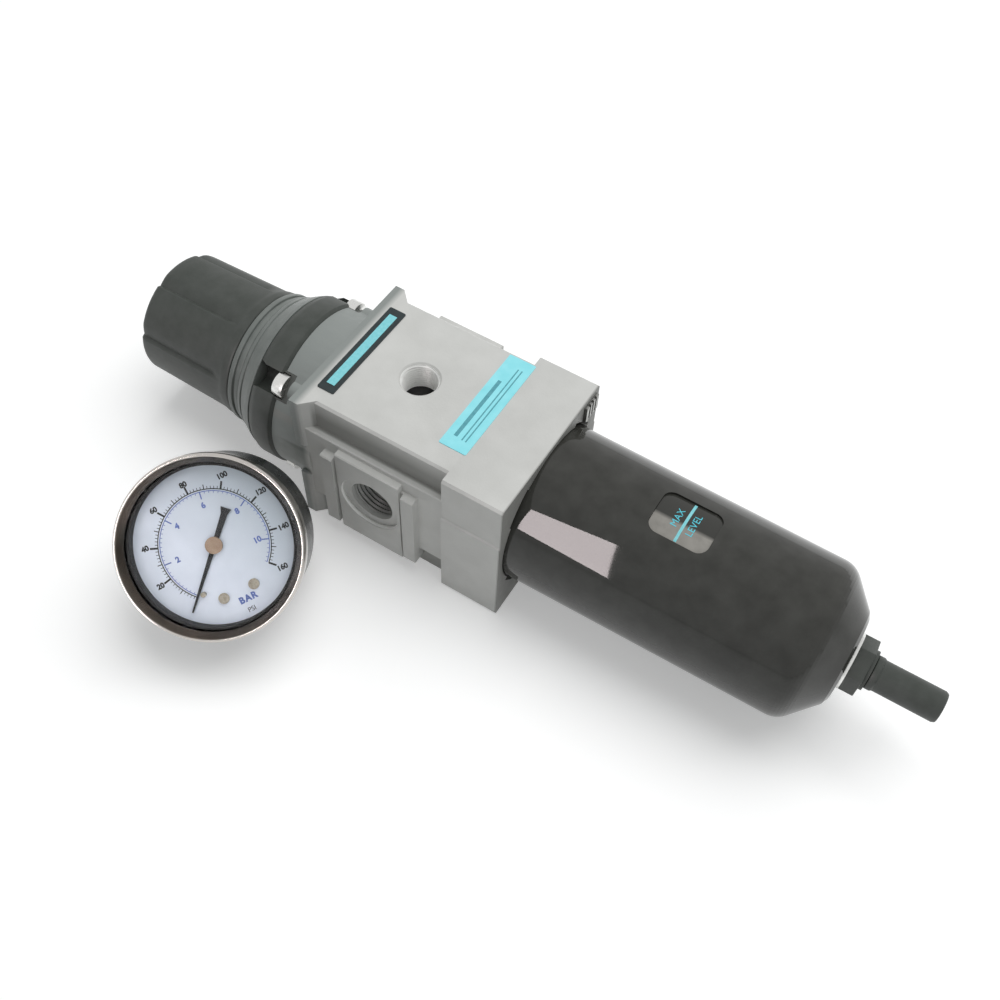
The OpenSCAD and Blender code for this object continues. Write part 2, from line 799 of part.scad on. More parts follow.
module diaphragm() {
    color([0.12, 0.12, 0.12]) disc(x_neck0, x_chamber0, diaphragm_r, plate_hub_r + run_gap);
}

module upper_plate() {
    color([0.66, 0.67, 0.68]) {
        disc(x_plate0, x_neck0, plate_r);
        disc(x_neck0 - cut, x_chamber0, plate_hub_r);
        disc(x_plate0 - 2, x_plate0 + cut, nut_hub_r - 1, 0);
    }
}

module lower_plate() {
    color([0.66, 0.67, 0.68])
        turned([
            [x_chamber0, 0], [x_chamber0, plate_r], [x_chamber0 + 1, plate_r],
            [x_chamber0 + lower_plate_t, plate_r - 1], [x_chamber0 + lower_plate_t, 0]
        ]);
}

module valve_seat() {
    nose = 0.8;
    color([0.78, 0.62, 0.30])
        turned([
            [x_outlet1, seat_bore_r], [x_outlet1, seat_r], [x_seat1 - nose, seat_r],
            [x_seat1 - nose, seat_bore_r + 1.6], [x_seat1, seat_bore_r + 1],
            [x_seat1, seat_bore_r]
        ]);
}

module valve_poppet() {
    x1 = x_poppet0 + poppet_t;
    color([0.20, 0.20, 0.20])
        turned([
            [x_stem0, 0], [x_stem0, stem_r], [x_poppet0, stem_r], [x_poppet0, poppet_r],
            [x1, poppet_r], [x1, tail_r], [x1 + tail_l, tail_r], [x1 + tail_l, 0]
        ]);
}

module valve_spring() {
    x0 = x_poppet0 + poppet_t;
    color([0.55, 0.56, 0.58]) on_axis(x0) coil(x_guide0 - x0, 5, 0.55, 5);
}

// Guides the valve's tail, and carries the filter element on its tube
module valve_guide() {
    tail_bore_l = tail_l + x_poppet0 + poppet_t + valve_travel + 0.5 - x_guide0;
    x_tube1 = x_element1 + retainer_l - 1;
    color([0.15, 0.15, 0.15]) difference() {
        turned([
            [x_guide0, 0], [x_guide0, guide_bore_r - run_gap],
            [x_seal_bore, guide_bore_r - run_gap], [x_seal_bore, guide_flange_r],
            [x_deflector0, guide_flange_r], [x_deflector0, guide_tube_r],
            [x_tube1, guide_tube_r], [x_tube1, 0]
        ]);
        disc(x_guide0 - cut, x_guide0 + tail_bore_l, tail_r + run_gap);
        disc(x_guide0 + guide_floor_t, x_tube1 + cut, guide_tube_r - guide_wall);
        for (a = [0:60:300]) on_axis(x_guide0 - cut)
            rotate([0, 0, a]) translate([vent_at - vent_r, 0, 0])
                cylinder(h = guide_floor_t + 2 * cut, r = vent_r / 1.4, $fn = small_fn);
        for (i = [0:4], a = [0, 90])
            translate([x_element0 + element_l * (i + 0.5) / 5, 0, axis_z]) rotate([a, 0, 0])
                cylinder(h = 4 * guide_tube_r, r = vent_r, center = true, $fn = small_fn);
    }
}

// Swirl vanes that throw water against the bowl
module deflector() {
    hub_r_out = guide_tube_r + 3.5;
    rim_t = 1.2;
    color([0.16, 0.17, 0.17]) {
        disc(x_deflector0, x_element0, hub_r_out, guide_tube_r + run_gap);
        disc(x_deflector0, x_element0, deflector_r, deflector_r - rim_t);
        intersection() {
            disc(x_deflector0, x_element0, deflector_r - rim_t / 2, hub_r_out - 0.6);
            for (i = [0:vane_count - 1])
                rotate_about_axis(i * 360 / vane_count)
                    translate([(x_deflector0 + x_element0) / 2, 0, axis_z])
                        rotate([0, 0, vane_tilt])
                            translate([-deflector_l, -vane_t / 2, hub_r_out - 1])
                                cube([2 * deflector_l, vane_t, deflector_r]);
        }
    }
}

module filter_element() {
    color([0.90, 0.88, 0.84])
        disc(x_element0, x_element1, element_r, guide_tube_r + element_gap);
}

module element_retainer() {
    skirt_t = 1.4;
    color([0.16, 0.17, 0.17])
        turned([
            [x_element1, guide_tube_r + run_gap], [x_element1, retainer_hub_r],
            [x_element1 + 1, retainer_r], [x_element1 + retainer_l, retainer_r],
            [x_element1 + retainer_l, retainer_r - skirt_t],
            [x_element1 + 1 + skirt_t, retainer_r - skirt_t],
            [x_element1 + 1 + skirt_t, retainer_hub_r], [x_element1 + retainer_l, retainer_hub_r],
            [x_element1 + retainer_l, guide_tube_r + run_gap]
        ]);
}

// ---- bowl and drain --------------------------------------------------------

// Outer line of the bowl from its shoulder to the middle of its bottom
function bowl_outline() = let (
        start_x = x_bowl1 - bowl_bottom_l, low_r = bowl_end_r - bowl_round,
        bend = arc(start_x, low_r, bowl_round, 0, bowl_slope),
        last = bend[len(bend) - 1], run = x_bowl1 - 0.9 - last[0])
    concat(
        [[x_bowl_shoulder, neck_top], [x_bowl_shoulder, bowl_r - 0.5],
            [x_bowl_shoulder + 0.5, bowl_r], [x_collar1, bowl_r]],
        bend,
        [[last[0] + run, last[1] - run * tan(bowl_slope)],
            [x_bowl1, last[1] - run * tan(bowl_slope) - 2], [x_bowl1, fitting_r + run_gap]]
    );

// Inner line of the bowl from the middle of its bottom to its neck
function bowl_inline() = [
    [x_floor, fitting_r + run_gap], [x_floor, bowl_end_r - bowl_floor_slope],
    [x_bowl1 - bowl_bottom_l, bowl_end_r - bowl_wall], [x_collar1, bowl_r - bowl_wall - 0.3],
    [x_bowl_shoulder + 3, bowl_r - bowl_wall - 0.3], [x_bowl_shoulder + 1, neck_bore_r],
    [x_bowl0, neck_bore_r]
];

module bowl() {
    x_groove = seal_ring_r + 0.05;
    color([0.06, 0.06, 0.06]) difference() {
        union() {
            turned(concat([[x_bowl0, neck_top]], bowl_outline(), bowl_inline()));
            for (i = [0:bayonet_lugs - 1])
                ring_sector(lug_x0, lug_x0 + bayonet_l, bowl_r - cut, lug_r,
                    i * 360 / bayonet_lugs, bayonet_w);
        }
        disc(x_seal - x_groove, x_seal + x_groove, neck_top + cut,
            seal_bore_r - run_gap - 2 * seal_ring_r - 0.05);
        translate([x_sight, 0, axis_z]) linear_extrude(collar_w)
            round_rect(sight_l, sight_w, sight_corner);
    }
}

module bowl_seal() {
    color([0.05, 0.05, 0.05]) on_axis(x_seal) rotate_extrude($fn = round_fn)
        translate([seal_bore_r - run_gap - seal_ring_r, 0]) circle(seal_ring_r, $fn = small_fn);
}

// Clear window, held in its slot by a lip inside the bowl
module sight_glass() {
    inner = bowl_end_r - bowl_wall - sight_recess - sight_fit;
    x0 = x_sight - sight_l;
    x1 = x_sight + sight_l;
    color([0.75, 0.78, 0.78, 0.5]) {
        intersection() {
            disc(x0, x1, bowl_end_r - sight_recess, inner - sight_flange_t + sight_seat);
            translate([x_sight, 0, axis_z]) linear_extrude(collar_w)
                round_rect(sight_l - 2 * sight_fit, sight_w - 2 * sight_fit,
                    sight_corner - sight_fit);
        }
        intersection() {
            disc(x0, x1, inner, inner - sight_flange_t);
            translate([x_sight, 0, axis_z]) linear_extrude(collar_w)
                round_rect(sight_l + 2 * sight_lip, sight_w + 2 * sight_lip, sight_corner);
        }
    }
}

// Sliding block with a toothed end for the thumb
module bowl_latch() {
    x1 = x_collar1 + latch_out;
    pitch = latch_w / latch_teeth;
    color([0.70, 0.70, 0.68]) translate([x1, latch_y0, axis_z + latch_low]) difference() {
        translate([-latch_l, 0, 0]) cube([latch_l, latch_w, latch_h]);
        for (i = [0:latch_teeth - 2])
            translate([-tooth_depth, pitch * (i + 0.75), -cut])
                cube([tooth_depth + cut, pitch / 2, latch_h + 2 * cut]);
    }
}

module latch_spring() {
    x0 = x_collar1 - latch_pocket_l;
    color([0.6, 0.6, 0.6])
        translate([x0, latch_y0 + latch_w / 2, axis_z + latch_low + latch_h / 2])
            rotate([0, 90, 0])
                coil(x_collar1 + latch_out - latch_l - x0, 1.9, latch_wire_r, 4, 6, 12);
}

module drain_fitting() {
    color([0.10, 0.10, 0.10]) difference() {
        union() {
            disc(x_fitting0, x_floor, fitting_flange_r);
            disc(x_floor - cut, x_fitting1, fitting_r);
        }
        disc(x_fitting0 - cut, x_fitting0 + fitting_flange_t, float_guide_r);
        disc(x_fitting0, x_fitting1 + cut, drain_bore_r);
        disc(x_fitting1 - spigot_l, x_fitting1 + cut, spigot_r + run_gap);
    }
}

module float_guide() {
    color([0.75, 0.75, 0.72])
        disc(x_fitting0 - float_guide_l, x_fitting0 + fitting_flange_t, float_guide_r,
            drain_bore_r - 0.5);
}

module float() {
    x1 = x_fitting0 - 0.5;
    color([0.92, 0.92, 0.90])
        turned([
            [x1 - float_l, float_guide_r + float_gap], [x1 - float_l, float_r - 1.5],
            [x1 - float_l + 1.5, float_r], [x1 - 1.5, float_r], [x1, float_r - 1.5],
            [x1, float_guide_r + float_gap]
        ]);
}

module drain_washer() {
    color([0.82, 0.83, 0.84]) disc(x_bowl1, x_bowl1 + washer_t, washer_r, fitting_r + run_gap);
}

module drain_nut() {
    color([0.10, 0.10, 0.10]) on_axis(x_bowl1 + washer_t) difference() {
        cylinder(h = nut_h, r = drain_nut_d / 2, $fn = 6);
        translate([0, 0, -cut]) cylinder(h = nut_h + 2 * cut, r = fitting_r + run_gap,
            $fn = round_fn);
    }
}

module drain_stem() {
    x0 = x_fitting1 + 0.2;
    tip = 1;
    color([0.08, 0.08, 0.08]) difference() {
        union() {
            turned([
                [x0, 0], [x0, drain_r + 0.4], [x0 + 2, drain_r + 0.4], [x0 + 2.4, drain_r],
                [x0 + drain_l - tip, drain_r], [x0 + drain_l, drain_r - 0.4], [x0 + drain_l, 0]
            ]);
            disc(x0 - spigot_l + 0.5, x0 + cut, spigot_r);
        }
        disc(x0 - spigot_l - cut, x0 + drain_l + cut, drain_bore_r);
    }
}

// ---- gauge -----------------------------------------------------------------
// The gauge's own frame: origin at the middle of the bezel's front, z towards the
// reader, x to the right and y up on the dial.

module place_gauge() {
    translate([gauge_x, gauge_y, gauge_z]) rotate([0, 0, gauge_heading])
        rotate([0, 90 - gauge_tilt, 0]) rotate([0, 0, 90 + gauge_roll]) children();
}

// A solid turned about the gauge's axis from points [height, radius]
module gauge_turned(points) {
    rotate_extrude($fn = round_fn) polygon([for (p = points) [p[1], p[0]]]);
}

module gauge_disc(z0, z1, r_out, r_in = 0) {
    gauge_turned([[z0, r_in], [z1, r_in], [z1, r_out], [z0, r_out]]);
}

module gauge_case() {
    rim = bezel_r - bezel_t;
    color([0.08, 0.08, 0.08]) place_gauge() difference() {
        gauge_turned([
            [-case_depth, socket_hub_r], [-case_depth, case_r],
            [-bezel_l, case_r], [-bezel_l + case_lip, rim - case_lip],
            [lens_z - lens_t, rim - case_lip], [lens_z - lens_t, case_r - case_wall],
            [-case_depth + case_back_t, case_r - case_wall],
            [-case_depth + case_back_t, socket_hub_r]
        ]);
    }
}

module gauge_bezel() {
    rim = bezel_r - bezel_t;
    lip_r = bezel_r - bezel_round;
    color([0.80, 0.80, 0.80]) place_gauge()
        gauge_turned(concat(
            [[-bezel_l, rim], [-bezel_l, bezel_r]],
            arc(-bezel_round, lip_r, bezel_round, 0, 90),
            [[lens_z / 4, lip_r - bezel_face / 2], [lens_z, lip_r - bezel_face], [lens_z, rim]]
        ));
}

module gauge_lens() {
    color([0.85, 0.90, 0.92, 0.3]) place_gauge()
        gauge_disc(lens_z - lens_t, lens_z, bezel_r - bezel_t - 0.1);
}

module gauge_dial() {
    color([0.90, 0.92, 0.95]) place_gauge() difference() {
        gauge_disc(dial_z - dial_t, dial_z, dial_r);
        translate([0, 0, dial_z - dial_t - cut]) cylinder(h = dial_t + 2 * cut, r = dial_hole_r,
            $fn = small_fn);
        for (p = dial_screw_at) translate([p[0], p[1], dial_z - dial_t - cut])
            cylinder(h = dial_t + 2 * cut, r = pin_r + run_gap, $fn = small_fn);
        at_stop_pin() cylinder(h = dial_t + 2 * cut, r = pin_r + run_gap, $fn = small_fn);
    }
}

// Puts its children where the stop pin passes the dial, from below the dial up
module at_stop_pin() {
    rotate([0, 0, zero_angle + stop_pin_past])
        translate([stop_pin_at, 0, dial_z - dial_t - cut]) children();
}

// Two screws that hold the dial, and the pin that stops the pointer below zero
module dial_screws() {
    shank_h = dial_t + cut;
    color([0.60, 0.60, 0.60]) place_gauge() {
        for (p = dial_screw_at) translate([p[0], p[1], dial_z]) {
            cylinder(h = dial_screw_t, r = dial_screw_r, $fn = small_fn);
            translate([0, 0, -shank_h])
                cylinder(h = shank_h + dial_screw_t / 2, r = pin_r, $fn = small_fn);
        }
        at_stop_pin() cylinder(h = shank_h + stop_pin_h, r = pin_r, $fn = small_fn);
    }
}

// Tapered pointer with a broad tail, at zero on the dial
module gauge_pointer() {
    color([0.04, 0.04, 0.04]) place_gauge() translate([0, 0, pointer_z - pointer_t])
        rotate([0, 0, zero_angle]) difference() {
            union() {
                cylinder(h = pointer_t, r = pointer_disc_r, $fn = small_fn);
                linear_extrude(pointer_t)
                    polygon([
                        [pointer_l, -pointer_tip_w / 2], [pointer_l, pointer_tip_w / 2],
                        [-pointer_tail + pointer_flare_l, pointer_mid_w / 2],
                        [-pointer_tail, pointer_tail_w / 2], [-pointer_tail, -pointer_tail_w / 2],
                        [-pointer_tail + pointer_flare_l, -pointer_mid_w / 2]
                    ]);
            }
            translate([0, 0, -cut]) cylinder(h = pointer_t + 2 * cut, r = arbor_r, $fn = small_fn);
        }
}

module pointer_hub() {
    color([0.72, 0.55, 0.28]) place_gauge() {
        gauge_disc(pointer_z, pointer_z + hub_t, hub_r, 0);
        gauge_disc(pointer_z - pointer_t, pointer_z + cut / 2, arbor_r);
    }
}

// Spur gear teeth over part of a turn: straight flanks on a pitch circle
module gear_teeth(pitch_r, teeth_in_turn, first, last) {
    step = 360 / teeth_in_turn;
    root_half = step * tooth_share * 0.75;
    tip_half = step * tooth_share * 0.32;
    low = pitch_r - tooth_height * gear_module * 1.9;
    high = pitch_r + tooth_height * gear_module;
    for (i = [first:last]) rotate([0, 0, i * step])
        polygon([
            [0, 0], [low * cos(root_half), -low * sin(root_half)],
            [high * cos(tip_half), -high * sin(tip_half)],
            [high * cos(tip_half), high * sin(tip_half)],
            [low * cos(root_half), low * sin(root_half)]
        ]);
}

module gauge_pinion() {
    pitch_r = gear_module * pinion_teeth / 2;
    color([0.78, 0.62, 0.30]) place_gauge() {
        translate([0, 0, gear_z]) linear_extrude(gear_t) union() {
            gear_teeth(pitch_r, pinion_teeth, 0, pinion_teeth - 1);
            circle(arbor_r + 0.2, $fn = small_fn);
        }
        translate([0, 0, gear_z - frame_gap - frame_t])
            cylinder(h = pointer_z - pointer_t - gear_z + frame_gap + frame_t, r = arbor_r,
                $fn = small_fn);
    }
}

// Toothed sector on its own arbor, with a tail that the link pulls
module sector_gear() {
    turn_teeth = pinion_teeth * sector_ratio;
    pitch_r = gear_module * turn_teeth / 2;
    step = 360 / turn_teeth;
    first = -floor((sector_sweep + sector_margin) / step);
    last = floor(sector_margin / step);
    color([0.78, 0.62, 0.30]) place_gauge()
        rotate([0, 0, sector_heading]) translate([gear_distance, 0, 0]) {
            translate([0, 0, gear_z]) linear_extrude(gear_t) {
                rotate([0, 0, 180 + step / 2]) gear_teeth(pitch_r, turn_teeth, first, last);
                circle(sector_boss_r, $fn = small_fn);
                translate([0, -sector_tail_w / 2])
                    square([sector_tail_l + sector_tail_past, sector_tail_w]);
            }
            translate([0, 0, gear_z - frame_gap - frame_t])
                cylinder(h = gear_t + 2 * frame_gap + 2 * frame_t, r = arbor_r, $fn = small_fn);
            translate([sector_tail_l, 0, gear_z - link_t - link_gap])
                cylinder(h = link_t + link_gap + gear_t, r = link_pin_r, $fn = small_fn);
        }
}

module movement_frame() {
    color([0.78, 0.62, 0.30]) place_gauge() rotate([0, 0, sector_heading]) {
        for (z = [gear_z - frame_gap - frame_t, gear_z + gear_t + frame_gap])
            translate([0, 0, z]) linear_extrude(frame_t) difference() {
                translate([gear_distance / 2, 0]) round_rect(gear_distance + 2 * frame_past, frame_w, 2);
                circle(arbor_r + run_gap, $fn = small_fn);
                translate([gear_distance, 0]) circle(arbor_r + run_gap, $fn = small_fn);
            }
        for (side = [-1, 1])
            translate([-post_back, side * post_side, socket_z1 + case_back_t])
                cylinder(h = gear_z + gear_t + frame_gap + cut / 2 - socket_z1 - case_back_t,
                    r = post_r, $fn = small_fn);
    }
}

// Flattened tube bent round the movement
module bourdon_tube() {
    color([0.80, 0.66, 0.36]) place_gauge() translate([0, 0, tube_z])
        rotate([0, 0, tube_start]) rotate_extrude(angle = tube_sweep, $fn = round_fn)
            translate([tube_mid_r - tube_half_t, -tube_half_w])
                square([2 * tube_half_t, 2 * tube_half_w]);
}

// Links the end of the tube to the sector's tail
module gauge_link() {
    z0 = gear_z - link_t - link_gap;
    color([0.78, 0.62, 0.30]) place_gauge()
        rotate([0, 0, sector_heading]) translate([gear_distance + sector_tail_l, 0, z0])
            difference() {
                union() {
                    cylinder(h = link_t, r = link_eye_r, $fn = small_fn);
                    translate([-link_w / 2, -link_l, 0]) cube([link_w, link_l, link_t]);
                }
                translate([0, 0, -cut])
                    cylinder(h = link_t + 2 * cut, r = link_pin_r + run_gap, $fn = small_fn);
            }
}

// Bore that leads the pressure from the stem's end into the block
module stem_bore() {
    translate([0, 0, -case_depth - pipe_l - cut])
        cylinder(h = pipe_l + cut + stem_bore_past, r = stem_bore_r, $fn = small_fn);
}

// Brass block inside the case, with a round hub that closes the case's back
module gauge_socket() {
    tube_out = tube_mid_r + tube_half_t;
    block_z = -case_depth + case_back_t;
    color([0.76, 0.62, 0.34]) place_gauge() difference() {
        union() {
            translate([-socket_w / 2, -tube_out, block_z])
                cube([socket_w, tube_out + socket_past, socket_z1 - block_z]);
            gauge_disc(-case_depth, block_z + cut, socket_hub_r);
        }
        stem_bore();
    }
}

// Stem behind the case: a square for a spanner, then the pipe thread
module gauge_stem() {
    z_square = -case_depth - square_l;
    z_end = -case_depth - pipe_l;
    color([0.76, 0.62, 0.34]) place_gauge() difference() {
        union() {
            translate([-square_w / 2, -square_w / 2, z_square])
                cube([square_w, square_w, square_l]);
            gauge_turned([
                [z_square + cut, 0], [z_square + cut, pipe_r], [z_end + pipe_chamfer, pipe_r],
                [z_end, pipe_r - pipe_chamfer], [z_end, 0]
            ]);
        }
        stem_bore();
    }
}

body();
back_port_plug();
name_plate();
data_label();
bonnet();
bonnet_screws();
panel_nut();
lock_ring();
knob();
adjusting_screw();
spring_nut();
range_spring();
diaphragm();
upper_plate();
lower_plate();
valve_seat();
valve_poppet();
valve_spring();
valve_guide();
deflector();
filter_element();
element_retainer();
bowl();
bowl_seal();
sight_glass();
bowl_latch();
latch_spring();
float();
float_guide();
drain_fitting();
drain_washer();
drain_nut();
drain_stem();
gauge_case();
gauge_bezel();
gauge_lens();
gauge_dial();
dial_screws();
gauge_pointer();
pointer_hub();
gauge_pinion();
sector_gear();
movement_frame();
bourdon_tube();
gauge_link();
gauge_socket();
gauge_stem();
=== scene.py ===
# %% [markdown]
# # A filter regulator with its loose pressure gauge
# This lesson dresses a finished CAD model of a compressed-air filter and regulator.
# The CAD part gives every solid its place, so the lesson only adds what a camera sees:
# rounded casting edges, a fluted knob, cut threads, a printed dial, paint and chrome.
# All lengths are metres. +X runs from the knob to the drain and +Z is the front face.

# %% Tools and the CAD frame
import json

import bmesh
import bpy
import numpy as np
from mathutils import Matrix, Vector


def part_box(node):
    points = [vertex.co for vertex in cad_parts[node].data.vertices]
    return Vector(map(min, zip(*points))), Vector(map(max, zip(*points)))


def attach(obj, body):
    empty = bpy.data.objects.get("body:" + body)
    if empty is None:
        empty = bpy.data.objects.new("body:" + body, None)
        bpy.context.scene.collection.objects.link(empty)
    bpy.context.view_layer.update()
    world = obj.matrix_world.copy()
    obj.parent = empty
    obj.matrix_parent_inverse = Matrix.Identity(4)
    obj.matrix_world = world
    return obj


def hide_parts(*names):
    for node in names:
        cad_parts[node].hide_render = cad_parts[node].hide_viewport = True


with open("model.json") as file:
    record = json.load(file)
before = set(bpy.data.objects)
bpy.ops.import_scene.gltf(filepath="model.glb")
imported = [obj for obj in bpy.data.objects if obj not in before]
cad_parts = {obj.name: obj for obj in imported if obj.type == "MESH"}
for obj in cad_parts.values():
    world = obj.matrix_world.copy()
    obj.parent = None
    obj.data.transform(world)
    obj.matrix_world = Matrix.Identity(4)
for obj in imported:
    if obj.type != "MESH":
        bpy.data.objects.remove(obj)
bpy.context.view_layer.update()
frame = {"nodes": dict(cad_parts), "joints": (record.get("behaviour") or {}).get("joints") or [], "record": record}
nodes = frame["nodes"]
MM = 0.001


def span(node):
    """Lowest and highest corner of a CAD node as two numpy arrays."""
    low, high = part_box(node)
    return np.array(low), np.array(high)


bowl_low, bowl_high = span("bowl")
body_high = span("body")[1]
axis_z = (bowl_low[2] + bowl_high[2]) / 2
print("nodes:", len(nodes), "axis height:", round(axis_z, 4))

# %% [markdown]
# ## The camera
# A camera needs a place and three directions. They are written as the camera's own
# right, up and backward vectors, because the view is tilted and slightly rolled, and
# three vectors say that without any angles that could be applied in the wrong order.

# %% Camera
camera_place = Vector((0.134679, -0.189098, 0.334032))
camera_right = Vector((0.850725, 0.524402, 0.035646))
camera_up = Vector((-0.451373, 0.694134, 0.560750))
camera_back = Vector((0.269315, -0.493133, 0.827218))
camera = bpy.data.objects.new("camera", bpy.data.cameras.new("camera"))
camera.data.sensor_width = 36
camera.data.lens = 40.786
camera.data.clip_start = 0.01
turn = Matrix((camera_right, camera_up, camera_back)).transposed().to_4x4()
camera.matrix_world = Matrix.Translation(camera_place) @ turn
bpy.context.scene.collection.objects.link(camera)
bpy.context.scene.camera = camera
bpy.context.scene.view_settings.view_transform = "Standard"
print("camera looks towards", tuple(round(v, 3) for v in -camera_back))

# %% [markdown]
# ## Surfaces from arrays
# Every new piece is a grid of places worked out with numpy: rows run one way over the
# surface and columns the other. Two helpers turn such grids into meshes. One joins
# neighbouring places into quads and can close the grid on itself. The other turns a
# profile about an axis, which is how most machined and moulded parts are shaped.


# %% From a grid of places to a mesh
def finish_mesh(name, points, faces, weld=True):
    """Makes an object from (n, 3) places and a list of faces; welding closes seams and
    poles, and a closed piece gets its faces turned outwards."""
    mesh = bpy.data.meshes.new(name)
    mesh.from_pydata(np.asarray(points).reshape(-1, 3).tolist(), [], faces)
    if weld:
        work = bmesh.new()
        work.from_mesh(mesh)
        bmesh.ops.remove_doubles(work, verts=work.verts, dist=1e-7)
        bmesh.ops.recalc_face_normals(work, faces=work.faces)
        work.to_mesh(mesh)
        work.free()
    mesh.shade_smooth()
    piece = bpy.data.objects.new(name, mesh)
    bpy.context.scene.collection.objects.link(piece)
    return piece


def grid_faces(rows, columns, close_rows, close_columns):
    """Quads between neighbours of a rows by columns grid, as corner numbers."""
    number = np.arange(rows * columns).reshape(rows, columns)
    a = number if close_rows else number[:-1]
    b = np.roll(number, -1, 0) if close_rows else number[1:]
    if close_columns:
        corners = (a, b, np.roll(b, -1, 1), np.roll(a, -1, 1))
    else:
        corners = (a[:, :-1], b[:, :-1], b[:, 1:], a[:, 1:])
    return np.stack(corners, -1).reshape(-1, 4).tolist()


def skin(name, places, close_rows=False, close_columns=False, weld=True):
    """A surface through a (rows, columns, 3) array of places."""
    rows, columns = places.shape[:2]
    faces = grid_faces(rows, columns, close_rows, close_columns)
    return finish_mesh(name, places, faces, weld)


def rounded(path, radius, steps=5):
    """Rounds each corner of a closed path. A corner p becomes the curve
    (1-t)^2 a + 2 t (1-t) p + t^2 b, where a and b lie radius back along its edges."""
    path = np.asarray(path, float)
    radius = np.broadcast_to(radius, len(path))[:, None]
    back, ahead = np.roll(path, 1, 0) - path, np.roll(path, -1, 0) - path

    def towards(edge):
        """The step along an edge from its corner, at most 0.45 of the edge's length."""
        length = np.linalg.norm(edge, axis=1, keepdims=True)
        return edge / np.maximum(length, 1e-12) * np.minimum(radius, length * 0.45)

    a, b = path + towards(back), path + towards(ahead)
    t = np.linspace(0, 1, steps + 1)[None, :, None]
    curve = (1 - t) ** 2 * a[:, None] + 2 * t * (1 - t) * path[:, None] + t**2 * b[:, None]
    return curve.reshape(-1, 2)


# %% [markdown]
# ## Two axes to build around
# The unit has one long axis, and the gauge has its own, tilted because it leans on the
# bench. Each axis is kept as an origin and three directions. The gauge's directions
# come from the record's joints: the pointer turns about the dial's normal, and the
# toothed sector's arbor lies straight below the dial's centre, which gives its up.

# %% Axes of the unit and of the gauge
unit_axis = {
    "origin": np.array([0.0, 0.0, axis_z]),
    "along": np.array([1.0, 0.0, 0.0]),
    "first": np.array([0.0, 0.0, 1.0]),
    "second": np.array([0.0, 1.0, 0.0]),
}
joints = {joint["name"]: joint for joint in frame["joints"]}
normal = -np.array(joints["pointer_turn"]["axis"], float)
normal /= np.linalg.norm(normal)
centre = np.array(joints["pointer_turn"]["pos_m"], float)
below = np.array(joints["sector_turn"]["pos_m"], float) - centre
dial_up = -(below - normal * (below @ normal))
dial_up /= np.linalg.norm(dial_up)
dial_right = np.cross(dial_up, normal)
bezel_points = np.array([v.co for v in nodes["gauge_bezel"].data.vertices])
gauge_front = centre + normal * ((bezel_points - centre) @ normal).max()
gauge_axis = {"origin": gauge_front, "along": normal, "first": dial_right, "second": dial_up}
print("dial faces", normal.round(3), "and its up is", dial_up.round(3))


def about(axis, along, radius, angle):
    """Places at a distance along an axis, a radius from it and an angle round it:
    origin + along*A + radius*(cos(angle)*B + sin(angle)*C)."""
    along, radius, angle = np.broadcast_arrays(along, radius, angle)
    return (
        axis["origin"]
        + along[..., None] * axis["along"]
        + (radius * np.cos(angle))[..., None] * axis["first"]
        + (radius * np.sin(angle))[..., None] * axis["second"]
    )


def lathe(name, profile, axis, sides=128, closed=True):
    """Turns a profile of [along, radius] rows about an axis."""
    profile = np.asarray(profile, float)
    angle = np.linspace(0, 2 * np.pi, sides, endpoint=False)
    places = about(axis, profile[:, :1], profile[:, 1:], angle[None, :])
    return skin(name, places, close_rows=closed, close_columns=True)


# %% [markdown]
# ## Finishes
# Paint on a casting, moulded plastic, zinc plate, chrome and brass differ in colour,
# in how sharply they mirror and in their finest relief. Each finish starts from one
# shader and gets noise in object coordinates at its real size: orange peel in paint is
# about a millimetre, the grain of a moulding a few tenths.


# %% A finish and its relief
def finish(name, colour, roughness, metallic=0.0, **sockets):
    """A material whose shader sockets are set directly."""
    material = bpy.data.materials.new(name)
    material.use_nodes = True
    shader = material.node_tree.nodes["Principled BSDF"]
    shader.inputs["Base Color"].default_value = (*colour, 1)
    shader.inputs["Roughness"].default_value = roughness
    shader.inputs["Metallic"].default_value = metallic
    for socket, value in sockets.items():
        shader.inputs[socket.replace("_", " ")].default_value = value
    return material


def noise(material, size, detail=3.0):
    """Noise in object coordinates whose features are about size apart."""
    tree = material.node_tree
    where = tree.nodes.new("ShaderNodeTexCoord")
    pattern = tree.nodes.new("ShaderNodeTexNoise")
    pattern.inputs["Scale"].default_value = 1 / size
    pattern.inputs["Detail"].default_value = detail
    tree.links.new(where.outputs["Object"], pattern.inputs["Vector"])
    return pattern


def relief(material, size, depth, detail=2.0):
    """Raises the surface by noise of a given spacing and depth."""
    tree = material.node_tree
    bump = tree.nodes.new("ShaderNodeBump")
    bump.inputs["Distance"].default_value = depth
    tree.links.new(noise(material, size, detail).outputs["Fac"], bump.inputs["Height"])
    tree.links.new(bump.outputs["Normal"], tree.nodes["Principled BSDF"].inputs["Normal"])


